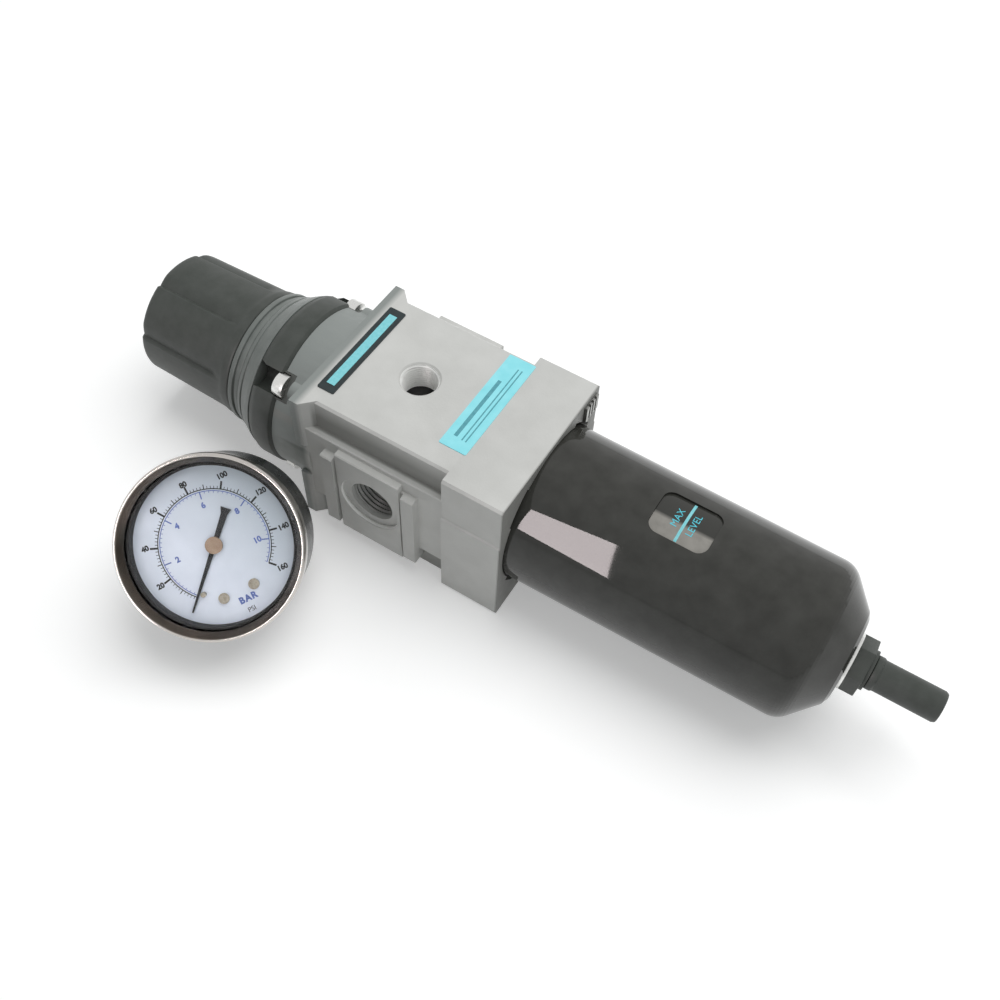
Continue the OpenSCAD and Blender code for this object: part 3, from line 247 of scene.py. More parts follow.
def mottle(material, size, low, high, socket="Base Color"):
    """Lets a colour or a number drift between two values over the surface."""
    tree = material.node_tree
    ramp = tree.nodes.new("ShaderNodeMapRange")
    ramp.inputs["From Min"].default_value = 0.3
    ramp.inputs["From Max"].default_value = 0.7
    pattern = noise(material, size)
    shader = tree.nodes["Principled BSDF"]
    tree.links.new(pattern.outputs["Fac"], ramp.inputs["Value"])
    if socket == "Base Color":
        mix = tree.nodes.new("ShaderNodeMix")
        mix.data_type = "RGBA"
        mix.inputs[6].default_value = (*low, 1)
        mix.inputs[7].default_value = (*high, 1)
        tree.links.new(ramp.outputs["Result"], mix.inputs[0])
        tree.links.new(mix.outputs[2], shader.inputs[socket])
    else:
        ramp.inputs["To Min"].default_value = low
        ramp.inputs["To Max"].default_value = high
        tree.links.new(ramp.outputs["Result"], shader.inputs[socket])


def shade(material, colour, *ramps):
    """Blends the base colour into another. Each ramp is (axis, start, end) in object
    coordinates and gives (place - start) / (end - start), kept between 0 and 1, and the
    share of the new colour is the product of the ramps. Axis |Y| is the distance from y = 0."""
    tree = material.node_tree
    split = tree.nodes.new("ShaderNodeSeparateXYZ")
    tree.links.new(tree.nodes.new("ShaderNodeTexCoord").outputs["Object"], split.inputs[0])
    away = tree.nodes.new("ShaderNodeMath")
    away.operation = "ABSOLUTE"
    tree.links.new(split.outputs["Y"], away.inputs[0])
    share = None
    for axis, start, end in ramps:
        ramp = tree.nodes.new("ShaderNodeMapRange")
        ramp.inputs["From Min"].default_value = start
        ramp.inputs["From Max"].default_value = end
        place = away.outputs[0] if axis == "|Y|" else split.outputs[axis]
        tree.links.new(place, ramp.inputs["Value"])
        if share is not None:
            product = tree.nodes.new("ShaderNodeMath")
            product.operation = "MULTIPLY"
            tree.links.new(share, product.inputs[0])
            tree.links.new(ramp.outputs["Result"], product.inputs[1])
        share = ramp.outputs["Result"] if share is None else product.outputs[0]
    mix = tree.nodes.new("ShaderNodeMix")
    mix.data_type = "RGBA"
    mix.inputs[7].default_value = (*colour, 1)
    base = tree.nodes["Principled BSDF"].inputs["Base Color"]
    tree.links.new(share, mix.inputs[0])
    tree.links.new(base.links[0].from_socket, mix.inputs[6])
    tree.links.new(mix.outputs[2], base)


# %% The finishes of this unit
# Of the two colours on the next line, the second is painted shade, for the collar's end face and for the recessed
# side walls under the top lip.
neck_shade, painted_wall_shade = (0.27, 0.29, 0.28), (0.30, 0.30, 0.285)
neck_start, neck_dark = -25.2 * MM, -27.5 * MM
side_dark = (("|Y|", 25.2 * MM, 25.6 * MM), ("|Y|", 27.0 * MM, 26.2 * MM))
before_collar, under_lip = ("X", 27.1 * MM, 26.9 * MM), ("Z", 59.0 * MM, 52.5 * MM)
casting_paint = finish("casting_paint", (0.60, 0.60, 0.58), 0.5)
mottle(casting_paint, 9 * MM, (0.58, 0.58, 0.56), (0.63, 0.63, 0.61))
shade(casting_paint, neck_shade, ("X", neck_start, neck_dark))
# Painted shadow: the casting darkens over its last 0.6 mm towards the collar's end face, which the bowl shades.
shade(casting_paint, painted_wall_shade, ("X", body_high[0] - 0.6 * MM, body_high[0]))
# Painted shade: the recessed side walls before the collar darken from under the top lip down towards the ledge.
shade(casting_paint, painted_wall_shade, *side_dark, before_collar, under_lip)
mottle(casting_paint, 3 * MM, 0.42, 0.55, "Roughness")
relief(casting_paint, 0.9 * MM, 0.05 * MM)

black_plastic = finish("black_plastic", (0.050, 0.056, 0.050), 0.5)
mottle(black_plastic, 5 * MM, (0.042, 0.048, 0.042), (0.060, 0.066, 0.060))
relief(black_plastic, 0.35 * MM, 0.03 * MM)

grey_plastic = finish("grey_plastic", (0.17, 0.185, 0.175), 0.4)
mottle(grey_plastic, 4 * MM, (0.155, 0.17, 0.16), (0.19, 0.205, 0.195))
relief(grey_plastic, 0.4 * MM, 0.02 * MM)

bowl_paint = finish("bowl_paint", (0.040, 0.040, 0.036), 0.4, Specular_IOR_Level=0.0,
                    Coat_Weight=1.0, Coat_Roughness=0.03, Coat_IOR=1.42)
mottle(bowl_paint, 7 * MM, (0.031, 0.031, 0.027), (0.050, 0.050, 0.045))
relief(bowl_paint, 2.5 * MM, 0.01 * MM)

zinc = finish("zinc", (0.80, 0.80, 0.78), 0.28, 1.0)
mottle(zinc, 1.5 * MM, 0.2, 0.38, "Roughness")
relief(zinc, 0.3 * MM, 0.004 * MM)

machined = finish("machined", (0.86, 0.86, 0.84), 0.3, 1.0)
mottle(machined, 1.0 * MM, 0.22, 0.4, "Roughness")

chrome = finish("chrome", (0.60, 0.57, 0.54), 0.1, 1.0)
mottle(chrome, 6 * MM, 0.07, 0.15, "Roughness")

# Painted reflection: a darker, browner chrome for the bezel's funnel stands in for the dark room it mirrors.
painted_dark_reflection = finish("painted_dark_reflection", (0.12, 0.105, 0.09), 0.25, 1.0)
mottle(painted_dark_reflection, 12 * MM, (0.085, 0.08, 0.07), (0.17, 0.14, 0.12))

brass = finish("brass", (0.42, 0.31, 0.17), 0.35, 1.0)
mottle(brass, 2 * MM, 0.28, 0.45, "Roughness")
relief(brass, 0.4 * MM, 0.004 * MM)

# Near-white: partly the bright bare metal of a cut thread, partly a painted sheen standing in for the light the
# port walls reflect.
cut_metal_painted_sheen = finish("cut_metal_painted_sheen", (0.93, 0.93, 0.91), 0.45, 0.1)
mottle(cut_metal_painted_sheen, 1.5 * MM, (0.90, 0.90, 0.88), (0.96, 0.96, 0.94))
# Painted shade: a dark grey thread metal for the threads inside the shaded side ports.
thread_metal_painted_shade = finish("thread_metal_painted_shade", (0.30, 0.30, 0.29), 0.5, 0.2)
mottle(thread_metal_painted_shade, 1.5 * MM, (0.26, 0.26, 0.25), (0.34, 0.34, 0.33))

latch_zinc = finish("latch_zinc", (0.40, 0.40, 0.385), 0.38, 0.8)
mottle(latch_zinc, 2 * MM, (0.30, 0.30, 0.29), (0.50, 0.50, 0.48))

spring_steel = finish("spring_steel", (0.55, 0.56, 0.58), 0.3, 1.0)
mottle(spring_steel, 1.5 * MM, 0.25, 0.4, "Roughness")

rubber = finish("rubber", (0.02, 0.02, 0.02), 0.75)
mottle(rubber, 2 * MM, 0.65, 0.85, "Roughness")

white_plastic = finish("white_plastic", (0.80, 0.79, 0.76), 0.5)
mottle(white_plastic, 3 * MM, (0.76, 0.75, 0.72), (0.84, 0.83, 0.80))
relief(white_plastic, 0.5 * MM, 0.02 * MM)

dark_plate = finish("dark_plate", (0.012, 0.022, 0.024), 0.35)
mottle(dark_plate, 2 * MM, (0.010, 0.019, 0.021), (0.018, 0.030, 0.032))

teal_film = finish("teal_film", (0.30, 0.80, 0.88), 0.35)
mottle(teal_film, 5 * MM, (0.27, 0.77, 0.85), (0.34, 0.84, 0.92))

print_cyan = finish("print_cyan", (0.10, 0.62, 0.74), 0.4)
mottle(print_cyan, 1 * MM, (0.08, 0.56, 0.68), (0.13, 0.66, 0.78))
print_bright = finish("print_bright", (0.24, 0.66, 0.72), 0.35)
mottle(print_bright, 1 * MM, (0.20, 0.62, 0.68), (0.28, 0.70, 0.76))
print_teal = finish("print_teal", (0.10, 0.36, 0.42), 0.4)
mottle(print_teal, 1 * MM, (0.08, 0.32, 0.38), (0.13, 0.40, 0.46))
print_black = finish("print_black", (0.012, 0.014, 0.016), 0.45)
mottle(print_black, 1 * MM, (0.010, 0.012, 0.014), (0.018, 0.02, 0.022))
print_blue = finish("print_blue", (0.10, 0.16, 0.44), 0.45)
mottle(print_blue, 1 * MM, (0.09, 0.14, 0.40), (0.12, 0.18, 0.48))

dial_white = finish("dial_white", (0.70, 0.76, 0.86), 0.45)
mottle(dial_white, 8 * MM, (0.67, 0.73, 0.83), (0.73, 0.79, 0.89))
# Painted shadow of the bezel: the dial darkens towards its top edge.
shade(dial_white, (0.40, 0.47, 0.52), ("Y", centre[1] - 4 * MM, centre[1] + 24 * MM))

hub_brass = finish("hub_brass", (0.36, 0.26, 0.19), 0.45, 0.4)
mottle(hub_brass, 2 * MM, (0.32, 0.22, 0.16), (0.40, 0.30, 0.22))
old_screw = finish("old_screw", (0.40, 0.36, 0.30), 0.3, 0.9)
mottle(old_screw, 1.2 * MM, (0.30, 0.27, 0.22), (0.52, 0.48, 0.40))

case_paint = finish("case_paint", (0.012, 0.014, 0.014), 0.22)
relief(case_paint, 1.2 * MM, 0.01 * MM)
mottle(case_paint, 3 * MM, 0.18, 0.3, "Roughness")

clear = finish("clear", (1.0, 1.0, 1.0), 0.02, Transmission_Weight=1.0, IOR=1.15)
mottle(clear, 20 * MM, 0.015, 0.03, "Roughness")

smoked = finish("smoked", (0.2, 0.2, 0.2), 0.35, Specular_IOR_Level=0.0, Coat_Weight=1.0,
                Coat_Roughness=0.05, Coat_IOR=1.42)
mottle(smoked, 4 * MM, (0.24, 0.23, 0.21), (0.32, 0.305, 0.28))
shade(smoked, (0.038, 0.038, 0.034), ("Y", -2.2 * MM, -0.8 * MM))
print("finishes:", len(bpy.data.materials))

# %% Every CAD node gets the finish of its slot
slot_finish = {
    "casting_paint": casting_paint, "plug_steel": zinc, "dark_plate": dark_plate,
    "teal_label": teal_film, "black_plastic": black_plastic, "grey_plastic": grey_plastic,
    "zinc_steel": zinc, "spring_steel": spring_steel, "aluminium": machined,
    "rubber": rubber, "inner_plastic": black_plastic, "filter_white": white_plastic,
    "bowl_paint": bowl_paint, "clear_window": clear, "float_white": white_plastic,
    "guide_white": white_plastic, "gauge_black": case_paint, "chrome": chrome,
    "lens": clear, "dial_white": dial_white, "pointer_black": print_black, "brass": brass,
}
node_finish = {"bowl_latch": latch_zinc, "pointer_hub": hub_brass, "dial_screws": old_screw,
               "sight_glass": smoked}
for part in frame["record"]["subparts"]:
    data = nodes[part["node"]].data
    data.materials.clear()
    data.materials.append(node_finish.get(part["node"], slot_finish[part["material_slot"]]))
print("slots:", len(slot_finish))


# %% [markdown]
# ## Soft edges on a casting
# A die casting has no sharp edges: the metal can't fill them, and blasting wears them.
# The CAD solid has the right faces and crisp edges, so the easiest way to the real
# look is to copy its mesh, weld the copy, join its flat triangles into whole faces and
# give it a Bevel modifier. The copy then stands for the node.


# %% Rounded copies of CAD nodes
def rounded_copy(node, width, material, body, steps=3, corner=32):
    """A welded copy of a node whose edges sharper than corner degrees are rounded."""
    mesh = nodes[node].data.copy()
    work = bmesh.new()
    work.from_mesh(mesh)
    bmesh.ops.remove_doubles(work, verts=work.verts, dist=2e-6)
    bmesh.ops.dissolve_limit(
        work, angle_limit=np.radians(0.6), verts=work.verts, edges=work.edges
    )
    work.to_mesh(mesh)
    work.free()
    mesh.shade_smooth()
    piece = bpy.data.objects.new(node + "_soft", mesh)
    bpy.context.scene.collection.objects.link(piece)
    mesh.materials.clear()
    mesh.materials.append(material)
    bevel = piece.modifiers.new("soft edges", "BEVEL")
    bevel.width = width
    bevel.segments = steps
    bevel.limit_method = "ANGLE"
    bevel.angle_limit = np.radians(corner)
    bevel.harden_normals = True
    bevel.miter_outer = "MITER_ARC"
    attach(piece, body)
    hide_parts(node)
    print(piece.name, "faces:", len(mesh.polygons))


rounded_copy("body", 0.7 * MM, casting_paint, "unit")
rounded_copy("bonnet", 0.5 * MM, black_plastic, "unit")
rounded_copy("bonnet_screws", 0.4 * MM, zinc, "unit")
rounded_copy("drain_nut", 0.8 * MM, black_plastic, "bowl")
rounded_copy("drain_stem", 0.3 * MM, black_plastic, "drain")
rounded_copy("drain_washer", 0.2 * MM, zinc, "bowl")


# %% [markdown]
# ## A fluted knob
# The knob is a cup with a rim band, seven narrow flutes and a slightly domed end. Its
# cross-section changes only by the flutes, so one function of two parameters makes it:
# walk the cup's wall from the inside to the outside, go once round for each step, and
# pull the radius in near each flute. A flute drops steeply on one side and climbs
# gently on the other, so a finger finds a step to push against. The angles bunch up
# near the flutes, because that is where the shape needs them.

# %% Knob
knob_low, knob_high = span("knob")
knob_end, knob_rim = knob_low[0], knob_high[0]
flute_count = 7
flute_first = np.radians(-72)
flute_depth = 1.0 * MM
flute_steep, flute_gentle = np.radians(2.6), np.radians(12)
flute_end, flute_fade = 5 * MM, 3 * MM
rim_radius = (knob_high[2] - knob_low[2]) / 2
crown = 1.2 * MM
face = knob_end + crown
wall = 3.0 * MM
skirt = 3.2 * MM
band_length, band_slope, band_drop = 3.0 * MM, 1.5 * MM, 0.5 * MM
draft = 1.3 * MM
tiny = 0.1 * MM
knob_path = rounded(
    [
        [face + wall, tiny], [face + wall, rim_radius - skirt],
        [knob_rim, rim_radius - skirt], [knob_rim, rim_radius],
        [knob_rim - band_length, rim_radius],
        [knob_rim - band_length - band_slope, rim_radius - band_drop],
        [face, rim_radius - draft], [face - crown * 0.55, rim_radius * 0.5],
        [face - crown, tiny],
    ],
    np.array([0, 1, 0.5, 0.6, 0.6, 1.5, 2.2, 6, 0]) * MM,
    8,
)
knob_path = np.concatenate([[[face + wall, 0]], knob_path, [[face - crown, 0]]])


def resample(path, count):
    """Spaces points evenly along an open path by its running length."""
    length = np.r_[0, np.cumsum(np.linalg.norm(np.diff(path, axis=0), axis=1))]
    keep = np.r_[True, np.diff(length) > 1e-9]
    even = np.linspace(0, length[-1], count)
    return np.stack([np.interp(even, length[keep], path[keep, i]) for i in (0, 1)], -1)


knob_line = resample(knob_path, 180)
even_angle = np.linspace(0, 2 * np.pi, 497, endpoint=False)
turn_angle = even_angle - 0.8 / flute_count * np.sin(flute_count * (even_angle - flute_first))
pitch = 2 * np.pi / flute_count
off_flute = (turn_angle - flute_first + pitch / 2) % pitch - pitch / 2
side = np.where(off_flute < 0, -off_flute / flute_steep, off_flute / flute_gentle)
flute = np.clip(1 - side, 0, 1) ** 1.3
station = knob_line[:, 0]
past_rim = np.arange(len(knob_line)) > np.argmax(station)
outside = past_rim & (knob_line[:, 1] > rim_radius * 0.5)
fade = np.clip((knob_rim - flute_end - station) / flute_fade, 0, 1) * outside
radius = knob_line[:, 1:] - flute_depth * fade[:, None] * flute[None, :]
knob = skin("knob_shell", about(unit_axis, station[:, None], radius, turn_angle[None]),
            close_columns=True)
knob.data.materials.append(black_plastic)
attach(knob, "knob")
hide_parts("knob")
print("knob faces:", len(knob.data.polygons))


# %% [markdown]
# ## The lock ring and the panel nut
# Two grey rings screw onto the bonnet's neck behind the knob. The narrow one has a
# groove turned in its rim, and the wide one tapers towards it in two fine steps. Both
# are turned shapes, so each is one profile of distances and radii sent round the axis.


# %% Grey rings
def ring(node, profile, soften):
    """A lathe piece for a ring node; profile rows give the share of the node's length
    from its knob end and the drop in millimetres below its outer radius."""
    low, high = span(node)
    outer = (high[2] - low[2]) / 2
    profile = np.array(profile)
    along = low[0] + profile[:, 0] * (high[0] - low[0])
    path = np.stack([along, outer - profile[:, 1] * MM], -1)
    piece = lathe(node + "_turned", rounded(path, soften * MM, 4), unit_axis, 160)
    piece.data.materials.append(grey_plastic)
    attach(piece, "unit")
    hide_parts(node)


ring("lock_ring", [[0, 4.45], [0, 0.4], [0.08, 0], [0.42, 0], [0.46, 0.9], [0.58, 0.9],
                   [0.62, 0.2], [0.94, 0.2], [1, 0.5], [1, 4.45]], 0.25)
ring("panel_nut", [[0, 8.95], [0, 4.0], [0.06, 3.7], [0.2, 3.3], [0.23, 3.7], [0.28, 3.7],
                   [0.31, 2.9], [0.7, 1.2], [0.76, 0.9], [0.98, 0.1], [1, 0.4], [1, 8.95]], 0.3)
print("rings turned")

# %% [markdown]
# ## Cut threads
# A pipe thread is a groove that climbs as it goes round. In cylinder coordinates its
# wall is radius = r - depth * triangle(along / pitch - angle / one turn), so a thin
# sleeve with that inner wall lines each port. The gauge port's thread and the side ports'
# lands are near-white, partly bare cut metal and partly a painted sheen. The side ports'
# threads are painted dark as shade, and a black disc down the gauge port is painted shade.


# %% Threads in the ports
def thread(name, mouth, inward, first, radius, length, pitch, taper, body, metal):
    """A sleeve with a helical inner wall, from a port's mouth inwards."""
    axis = {"origin": np.array(mouth), "along": np.array(inward, float),
            "first": np.array(first, float), "second": np.cross(inward, first)}
    along = np.linspace(0, length, int(length / pitch * 12))[:, None]
    angle = np.linspace(0, 2 * np.pi, 96, endpoint=False)[None, :]
    wave = np.abs(((along / pitch - angle / (2 * np.pi)) % 1) * 2 - 1)
    edge = np.clip(along / (0.8 * pitch), 0, 1) * np.clip((length - along) / pitch, 0, 1)
    inner = radius - 0.05 * MM - taper * along - pitch * 0.5 * wave * edge
    outer = np.broadcast_to(radius - 0.02 * MM, inner.shape)
    there_and_back = np.concatenate([along, along[::-1]])
    places = about(axis, there_and_back, np.concatenate([inner, outer]), angle)
    piece = skin(name, places, close_rows=True, close_columns=True)
    piece.data.materials.append(metal)
    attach(piece, body)


mounts = {mount["name"]: mount for mount in frame["record"]["mounts"]}
gauge_port_r = mounts["front_gauge_port"]["dims"]["r_mm"] * MM
port_r = mounts["inlet_port"]["dims"]["r_mm"] * MM
port_z = mounts["inlet_port"]["pos_m"][2]
thread_taper = 0.03
gauge_pitch, port_pitch = 1.0 * MM, 1.41 * MM
gauge_thread_l, port_thread_l = 11.5 * MM, 10.5 * MM
face_y = 31 * MM
recess_depth, recess_r = 3.2 * MM, 11.15 * MM
port_y = face_y - recess_depth
thread("front_thread", (0, 0, body_high[2] - 0.5 * MM), (0, 0, -1), (1, 0, 0),
       gauge_port_r, gauge_thread_l, gauge_pitch, thread_taper, "unit", cut_metal_painted_sheen)
thread("inlet_thread", (0, -port_y, port_z), (0, 1, 0), (1, 0, 0),
       port_r, port_thread_l, port_pitch, thread_taper, "unit", thread_metal_painted_shade)
thread("outlet_thread", (0, port_y, port_z), (0, -1, 0), (1, 0, 0),
       port_r, port_thread_l, port_pitch, thread_taper, "unit", thread_metal_painted_shade)
for name, way in (("inlet_land", 1.0), ("outlet_land", -1.0)):
    mouth_axis = {"origin": np.array([0.0, -way * face_y, port_z]),
                  "along": np.array([0.0, way, 0.0]), "first": np.array([1.0, 0.0, 0.0]),
                  "second": np.array([0.0, 0.0, way])}
    land = lathe(name, np.array([[0.15, 0], [1.58, 0], [1.58, -0.15], [0.15, -0.1]]) * MM
                 + [0, recess_r], mouth_axis, 96)
    land.data.materials.append(cut_metal_painted_sheen)
    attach(land, "unit")
# Painted shade: a black disc down the gauge port stands for the dark passage below it.
passage_depth = 10.4 * MM
port_axis = {"origin": np.array([0.0, 0.0, body_high[2] - passage_depth]),
             "along": np.array([0.0, 0.0, 1.0]),
             "first": np.array([1.0, 0.0, 0.0]), "second": np.array([0.0, 1.0, 0.0])}
port_shadow = lathe("painted_port_shadow", np.array([[0, 0], [0, 5.8], [0.25, 5.6], [0.25, 0]]) * MM,
                    port_axis, 64, closed=False)
port_shadow.data.materials.append(rubber)
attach(port_shadow, "unit")
print("threads cut")

# %% [markdown]
# ## The gauge's bezel
# The bezel is a thin spun ring: a rolled front lip and a funnel that leads down to the
# lens. It is a lathe profile with soft corners. The funnel's darker chrome is a painted
# reflection of a dark room. A black gasket under the lens gives the dark line round the dial.

# %% Bezel and gasket
bezel_radius = np.linalg.norm(
    (bezel_points - gauge_front) - np.outer((bezel_points - gauge_front) @ normal, normal), axis=1
).max()
bezel_path = rounded(
    np.array([
        [-5, -0.9], [-5, 0], [-1.1, 0], [0, -0.6], [0, -1.2], [-2.8, -3.2], [-2.8, -2.5],
        [-1.2, -1.5], [-2.2, -0.9],
    ]) * MM + [0, bezel_radius],
    np.array([0.2, 0.2, 0.9, 0.5, 0.5, 0.3, 0.2, 0.4, 0.6]) * MM, 6,
)
bezel = lathe("bezel", bezel_path, gauge_axis, 192)
bezel.data.materials.append(chrome)
bezel.data.materials.append(painted_dark_reflection)
middle = np.array([face.center for face in bezel.data.polygons]) - gauge_front
middle_r = np.linalg.norm(middle - np.outer(middle @ normal, normal), axis=1)
# The funnel inside the bright rim takes the darker chrome, a painted reflection.
bright_rim, funnel_depth = 1.25 * MM, 3.2 * MM
in_funnel = (middle_r < bezel_radius - bright_rim) & (middle @ normal > -funnel_depth)
funnel = in_funnel.astype(np.int32)
bezel.data.polygons.foreach_set("material_index", funnel)
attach(bezel, "gauge")
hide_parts("gauge_bezel")
dial_points = np.array([v.co for v in nodes["gauge_dial"].data.vertices])
dial_height = ((dial_points - gauge_front) @ normal).max()
dial_radius = bezel_radius - 3.3 * MM
gasket_front, gasket_width = -4.25 * MM, 0.9 * MM
gasket_path = np.array([
    [dial_height, dial_radius - gasket_width], [dial_height, dial_radius],
    [gasket_front, dial_radius], [gasket_front, dial_radius - gasket_width],
])
gasket = lathe("gasket", rounded(gasket_path, 0.2 * MM, 4), gauge_axis, 128)
gasket.data.materials.append(rubber)
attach(gasket, "gauge")
print("bezel radius:", round(bezel_radius, 4))


# %% [markdown]
# ## The printed dial
# The dial has two scales over three quarters of a turn: black 0 to 160 pounds per
# square inch outside, blue 0 to 11 bar inside. A mark is a thin quad along a radius,
# so all marks of a scale come from one array of angles. Numbers are text objects made
# into meshes and laid on the dial.

# %% Marks of both scales
print_lift = 0.03 * MM
print_height = dial_height + print_lift
zero_angle, sweep = np.radians(225), np.radians(270)
bar_per_psi = 0.0689476
full_psi = 160
full_bar = full_psi * bar_per_psi


def dial_angle(value, full):
    """The scale runs clockwise from zero: angle = zero - sweep * value / full."""
    return zero_angle - sweep * np.asarray(value, float) / full


def marks(name, angles, inner, outer, width, material):
    """One thin quad per angle, from the inner to the outer radius."""
    along = np.stack([np.cos(angles), np.sin(angles)], -1)
    side = np.stack([-along[:, 1], along[:, 0]], -1) * width / 2
    flat = np.stack([along * inner - side, along * outer - side,
                     along * outer + side, along * inner + side], 1).reshape(-1, 2)
    places = gauge_front + normal * print_height + flat[:, :1] * dial_right + flat[:, 1:] * dial_up
    faces = np.arange(len(places)).reshape(-1, 4).tolist()
    piece = finish_mesh(name, places, faces, weld=False)
    piece.data.materials.append(material)
    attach(piece, "gauge")


def ring_line(name, radius, width, material, start, end):
    """A printed arc between two radii."""
    angle = np.linspace(start, end, 180)[None, :]
    places = about(gauge_axis, np.full((2, 1), print_height),
                   np.array([[radius + width / 2], [radius - width / 2]]), angle)
    piece = skin(name, places, weld=False)
    piece.data.materials.append(material)
    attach(piece, "gauge")


scale_r = 17.5 * MM
fine = dial_angle(np.arange(0, 161, 2), full_psi)
coarse = dial_angle(np.arange(0, 161, 10), full_psi)
main = dial_angle(np.arange(0, 161, 20), full_psi)
bar_fine = dial_angle(np.arange(0, 11.01, 0.2), full_bar)
bar_main = dial_angle(np.arange(0, 11.01, 2), full_bar)
marks("psi_fine", fine, scale_r, scale_r + 0.9 * MM, 0.2 * MM, print_black)
marks("psi_coarse", coarse, scale_r, scale_r + 1.5 * MM, 0.28 * MM, print_black)
marks("psi_main", main, scale_r, scale_r + 2.5 * MM, 0.6 * MM, print_black)
marks("bar_fine", bar_fine, scale_r - 1.3 * MM, scale_r - 0.5 * MM, 0.18 * MM, print_blue)
marks("bar_main", bar_main, scale_r - 2.9 * MM, scale_r - 0.5 * MM, 0.4 * MM, print_blue)
ring_line("psi_line", scale_r, 0.32 * MM, print_black, zero_angle, zero_angle - sweep)
ring_line("bar_line", scale_r - 0.6 * MM, 0.26 * MM, print_blue, zero_angle, zero_angle - sweep)
print("marks:", len(fine) + len(coarse) + len(main))


# %% Numbers and units
def flat_text(name, words, size, place, right, up, out, material, body, spread=1.0,
              bold=0.0):
    """Text made into a mesh and laid on a plane given by two directions."""
    curve = bpy.data.curves.new(name, "FONT")
    curve.body, curve.size = words, size
    curve.align_x, curve.align_y = "CENTER", "CENTER"
    curve.space_character = spread
    curve.offset = bold
    curve.resolution_u = 4
    holder = bpy.data.objects.new(name + "_curve", curve)
    bpy.context.scene.collection.objects.link(holder)
    bpy.context.view_layer.update()
    shown = holder.evaluated_get(bpy.context.evaluated_depsgraph_get())
    mesh = bpy.data.meshes.new_from_object(shown)
    bpy.data.objects.remove(holder)
    turn = Matrix((right, up, out)).transposed().to_4x4()
    mesh.transform(Matrix.Translation(Vector(place)) @ turn)
    piece = bpy.data.objects.new(name, mesh)
    bpy.context.scene.collection.objects.link(piece)
    mesh.materials.clear()
    mesh.materials.append(material)
    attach(piece, body)
    return piece


def on_dial(x, y):
    """A place on the dial's face from its own right and up distances."""
    return gauge_front + normal * print_height + x * dial_right + y * dial_up


def dial_number(value, full, radius, size, material, tag):
    """A number whose near side keeps a set distance from the centre: its middle lies at
    radius + half its width * |cos| + half its height * |sin|."""
    angle = dial_angle(value, full)
    half_width, half_height = 0.3 * size * len(str(value)), 0.36 * size
    radius = radius + half_width * abs(np.cos(angle)) + half_height * abs(np.sin(angle))
    place = on_dial(radius * np.cos(angle), radius * np.sin(angle))
    flat_text(f"{tag}_{value}", str(value), size, place, dial_right, dial_up, normal,
              material, "gauge", bold=0.12 * MM)


psi_number_r, psi_number_size = 19.9 * MM, 2.3 * MM
bar_number_r, bar_number_size = 11.6 * MM, 2.5 * MM
for value in range(20, 161, 20):
    dial_number(value, full_psi, psi_number_r, psi_number_size, print_black, "psi")
for value in (2, 4, 6, 8, 10):
    dial_number(value, full_bar, bar_number_r, bar_number_size, print_blue, "bar")
flat_text("unit_bar", "BAR", 2.9 * MM, on_dial(1.5 * MM, -19.4 * MM), dial_right, dial_up,
          normal, print_blue, "gauge", 1.2, 0.14 * MM)
flat_text("unit_psi", "PSI", 2.2 * MM, on_dial(1.0 * MM, -23.0 * MM), dial_right, dial_up,
          normal, print_black, "gauge")
print("dial printed")

# %% [markdown]
# ## Plain bars on the plate and the label
# The dark plate and the pale blue label lie on the front face. Each carries only plain
# bars of colour, so they are flat rectangles a hair above the film, laid out from the
# plate's own box.


# %% Bars
def bar(name, node, across, along, width, length, material):
    """A rectangle on a flat node: centre and size as shares of the node's box."""
    low, high = span(node)
    size = high - low
    x = low[0] + size[0] * (across + np.array([-0.5, 0.5, 0.5, -0.5]) * width)
    y = low[1] + size[1] * (along + np.array([-0.5, -0.5, 0.5, 0.5]) * length)
    places = np.stack([x, y, np.full(4, high[2] + print_lift)], -1)
    piece = finish_mesh(name, places, [(0, 1, 2, 3)], weld=False)
    piece.data.materials.append(material)
    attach(piece, "unit")


bar("plate_bar", "name_plate", 0.5, 0.5, 0.48, 0.86, print_bright)
bar("label_bar", "data_label", 0.32, 0.42, 0.13, 0.62, print_teal)
bar("label_line_a", "data_label", 0.58, 0.5, 0.045, 0.8, print_teal)
bar("label_line_b", "data_label", 0.72, 0.5, 0.045, 0.8, print_teal)
print("bars laid")

# %% [markdown]
# ## The sight window's print
# The window carries two short words on either side of a level line. The print follows
# the window's curve: flat text is laid out first, and then its sideways distance is
# wrapped into an angle, angle = distance / radius.


# %% Curved print on the window
glass_low, glass_high = span("sight_glass")
window_x = (glass_low[0] + glass_high[0]) / 2
window_r = glass_high[2] - axis_z + print_lift


def wrapped_text(name, words, size, x):
    """Text that reads round the bowl with its top towards the knob."""
    piece = flat_text(name, words, size, (0, 0, 0), (1, 0, 0), (0, 1, 0), (0, 0, 1),
                      print_cyan, "bowl", 1.05)
    flat = np.empty(len(piece.data.vertices) * 3, np.float32)
    piece.data.vertices.foreach_get("co", flat)
    flat = flat.reshape(-1, 3)
    places = about(unit_axis, x - flat[:, 1], window_r, flat[:, 0] / window_r)
    piece.data.vertices.foreach_set("co", places.astype(np.float32).ravel())
    piece.data.update()


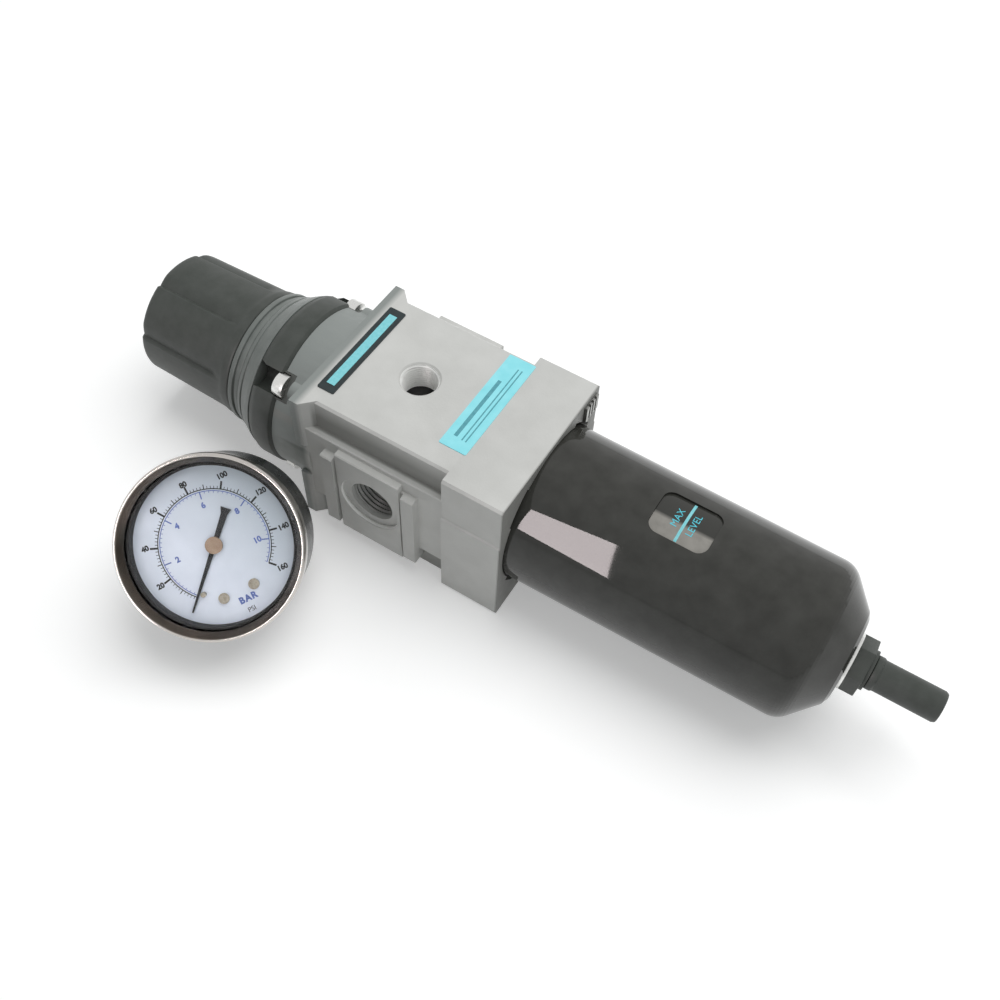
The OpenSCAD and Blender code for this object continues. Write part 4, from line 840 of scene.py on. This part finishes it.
word_size, word_offset = 3.1 * MM, 2.7 * MM
wrapped_text("word_max", "MAX", word_size, window_x - word_offset)
wrapped_text("word_level", "LEVEL", word_size, window_x + word_offset)
line_half_angle, line_half_width = 0.29, 0.45 * MM
line_angle = np.linspace(-line_half_angle, line_half_angle, 24)[None, :]
line_x = window_x + np.array([[-line_half_width], [line_half_width]])
level_line = skin("level_line", about(unit_axis, line_x, window_r, line_angle), weld=False)
level_line.data.materials.append(print_bright)
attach(level_line, "bowl")
print("window at", round(window_x, 4))

# %% [markdown]
# ## Stage and light
# The unit lies on a white bench under one big soft light. The floor glows a little for
# the camera and for mirrors, so it goes white but keeps its shadows. The room is white
# for both too, so chrome and gloss paint show a bright room.

# %% Floor
reach, floor_drop = 3, 0.2 * MM
floor_mesh = bpy.data.meshes.new("floor")
floor_mesh.from_pydata(
    [(-reach, -reach, 0), (reach, -reach, 0), (reach, reach, 0), (-reach, reach, 0)],
    [], [(0, 1, 2, 3)],
)
floor = bpy.data.objects.new("floor", floor_mesh)
bpy.context.scene.collection.objects.link(floor)
floor.location.z = -floor_drop
floor_finish = bpy.data.materials.new("bench")
floor_finish.use_nodes = True
tree = floor_finish.node_tree
tree.nodes.clear()
paper = tree.nodes.new("ShaderNodeBsdfDiffuse")
paper.inputs["Color"].default_value = (0.86, 0.86, 0.86, 1)
glow = tree.nodes.new("ShaderNodeEmission")
glow.inputs["Strength"].default_value = 0.32
rays = tree.nodes.new("ShaderNodeLightPath")
seen = tree.nodes.new("ShaderNodeMath")
seen.operation = "MAXIMUM"
both = tree.nodes.new("ShaderNodeAddShader")
choose = tree.nodes.new("ShaderNodeMixShader")
out = tree.nodes.new("ShaderNodeOutputMaterial")
tree.links.new(rays.outputs["Is Camera Ray"], seen.inputs[0])
tree.links.new(rays.outputs["Is Glossy Ray"], seen.inputs[1])
tree.links.new(paper.outputs[0], both.inputs[0])
tree.links.new(glow.outputs[0], both.inputs[1])
tree.links.new(seen.outputs[0], choose.inputs[0])
tree.links.new(paper.outputs[0], choose.inputs[1])
tree.links.new(both.outputs[0], choose.inputs[2])
tree.links.new(choose.outputs[0], out.inputs["Surface"])
floor_mesh.materials.append(floor_finish)

# %% Room
world = bpy.data.worlds.new("room")
bpy.context.scene.world = world
world.use_nodes = True
tree = world.node_tree
tree.nodes.clear()
rays = tree.nodes.new("ShaderNodeLightPath")
soft = tree.nodes.new("ShaderNodeBackground")
soft.inputs["Color"].default_value = (0.97, 1.0, 1.0, 1)
soft.inputs["Strength"].default_value = 0.32
white = tree.nodes.new("ShaderNodeBackground")
choose = tree.nodes.new("ShaderNodeMixShader")
first = tree.nodes.new("ShaderNodeMath")
first.operation = "MAXIMUM"
second = tree.nodes.new("ShaderNodeMath")
second.operation = "MAXIMUM"
out = tree.nodes.new("ShaderNodeOutputWorld")
tree.links.new(rays.outputs["Is Camera Ray"], first.inputs[0])
tree.links.new(rays.outputs["Is Glossy Ray"], first.inputs[1])
tree.links.new(first.outputs[0], second.inputs[0])
tree.links.new(rays.outputs["Is Transmission Ray"], second.inputs[1])
tree.links.new(second.outputs[0], choose.inputs[0])
tree.links.new(soft.outputs[0], choose.inputs[1])
tree.links.new(white.outputs[0], choose.inputs[2])
tree.links.new(choose.outputs[0], out.inputs["Surface"])


# %% Lamp
lamp_place, lamp_target = Vector((0.15, 0.35, 1.1)), Vector((0.05, 0, 0))
lamp = bpy.data.lights.new("top light", "AREA")
lamp.shape, lamp.size, lamp.size_y = "RECTANGLE", 1.0, 1.0
lamp.energy = 10.2
top_light = bpy.data.objects.new("top light", lamp)
turned = (lamp_target - lamp_place).to_track_quat("-Z", "Y").to_matrix().to_4x4()
top_light.matrix_world = Matrix.Translation(lamp_place) @ turned
top_light.visible_glossy = False
bpy.context.scene.collection.objects.link(top_light)
print("lamps:", len(bpy.data.lights))

# %% [markdown]
# ## A card that the bowl mirrors
# Gloss paint only looks glossy when it mirrors something with an edge, so a studio has a
# white card beside the work. The card is found backwards: take a grid of places on the
# bowl that should shine, follow the camera's sight line d to each, mirror it in the
# bowl's outward normal n, d - 2 (d.n) n, and go on for a set distance. The result is a
# bent card that gives a straight-edged patch from this one camera.

# %% Card
share_x, share_turn = np.meshgrid(np.linspace(0, 1, 16), np.linspace(0, 1, 16))
patch_x = (53 + 31 * share_x + 1.2 * share_turn) * MM
patch_angle = np.radians(41.8 - 6.1 * share_x + (14.9 + 7.4 * share_x) * share_turn)
bowl_r = (bowl_high[2] - bowl_low[2]) / 2
flat = np.zeros_like(patch_x)
outward = np.stack([flat, -np.sin(patch_angle), np.cos(patch_angle)], -1)
shine = outward * bowl_r + np.stack([patch_x, flat, flat + axis_z], -1)
sight = shine - np.array(camera_place)
sight /= np.linalg.norm(sight, axis=-1, keepdims=True)
mirrored = sight - 2 * (sight * outward).sum(-1, keepdims=True) * outward
card_distance = 0.6
card = skin("card", shine + card_distance * mirrored, weld=False)
card_glow = bpy.data.materials.new("card_glow")
card_glow.use_nodes = True
tree = card_glow.node_tree
tree.nodes.clear()
glow = tree.nodes.new("ShaderNodeEmission")
glow.inputs["Color"].default_value = (1.0, 0.90, 0.91, 1)
glow.inputs["Strength"].default_value = 15.0
out = tree.nodes.new("ShaderNodeOutputMaterial")
tree.links.new(glow.outputs[0], out.inputs["Surface"])
card.data.materials.append(card_glow)
card.visible_camera = card.visible_diffuse = card.visible_shadow = False
card.visible_transmission = False
print("card faces:", len(card.data.polygons))


# %% Last call
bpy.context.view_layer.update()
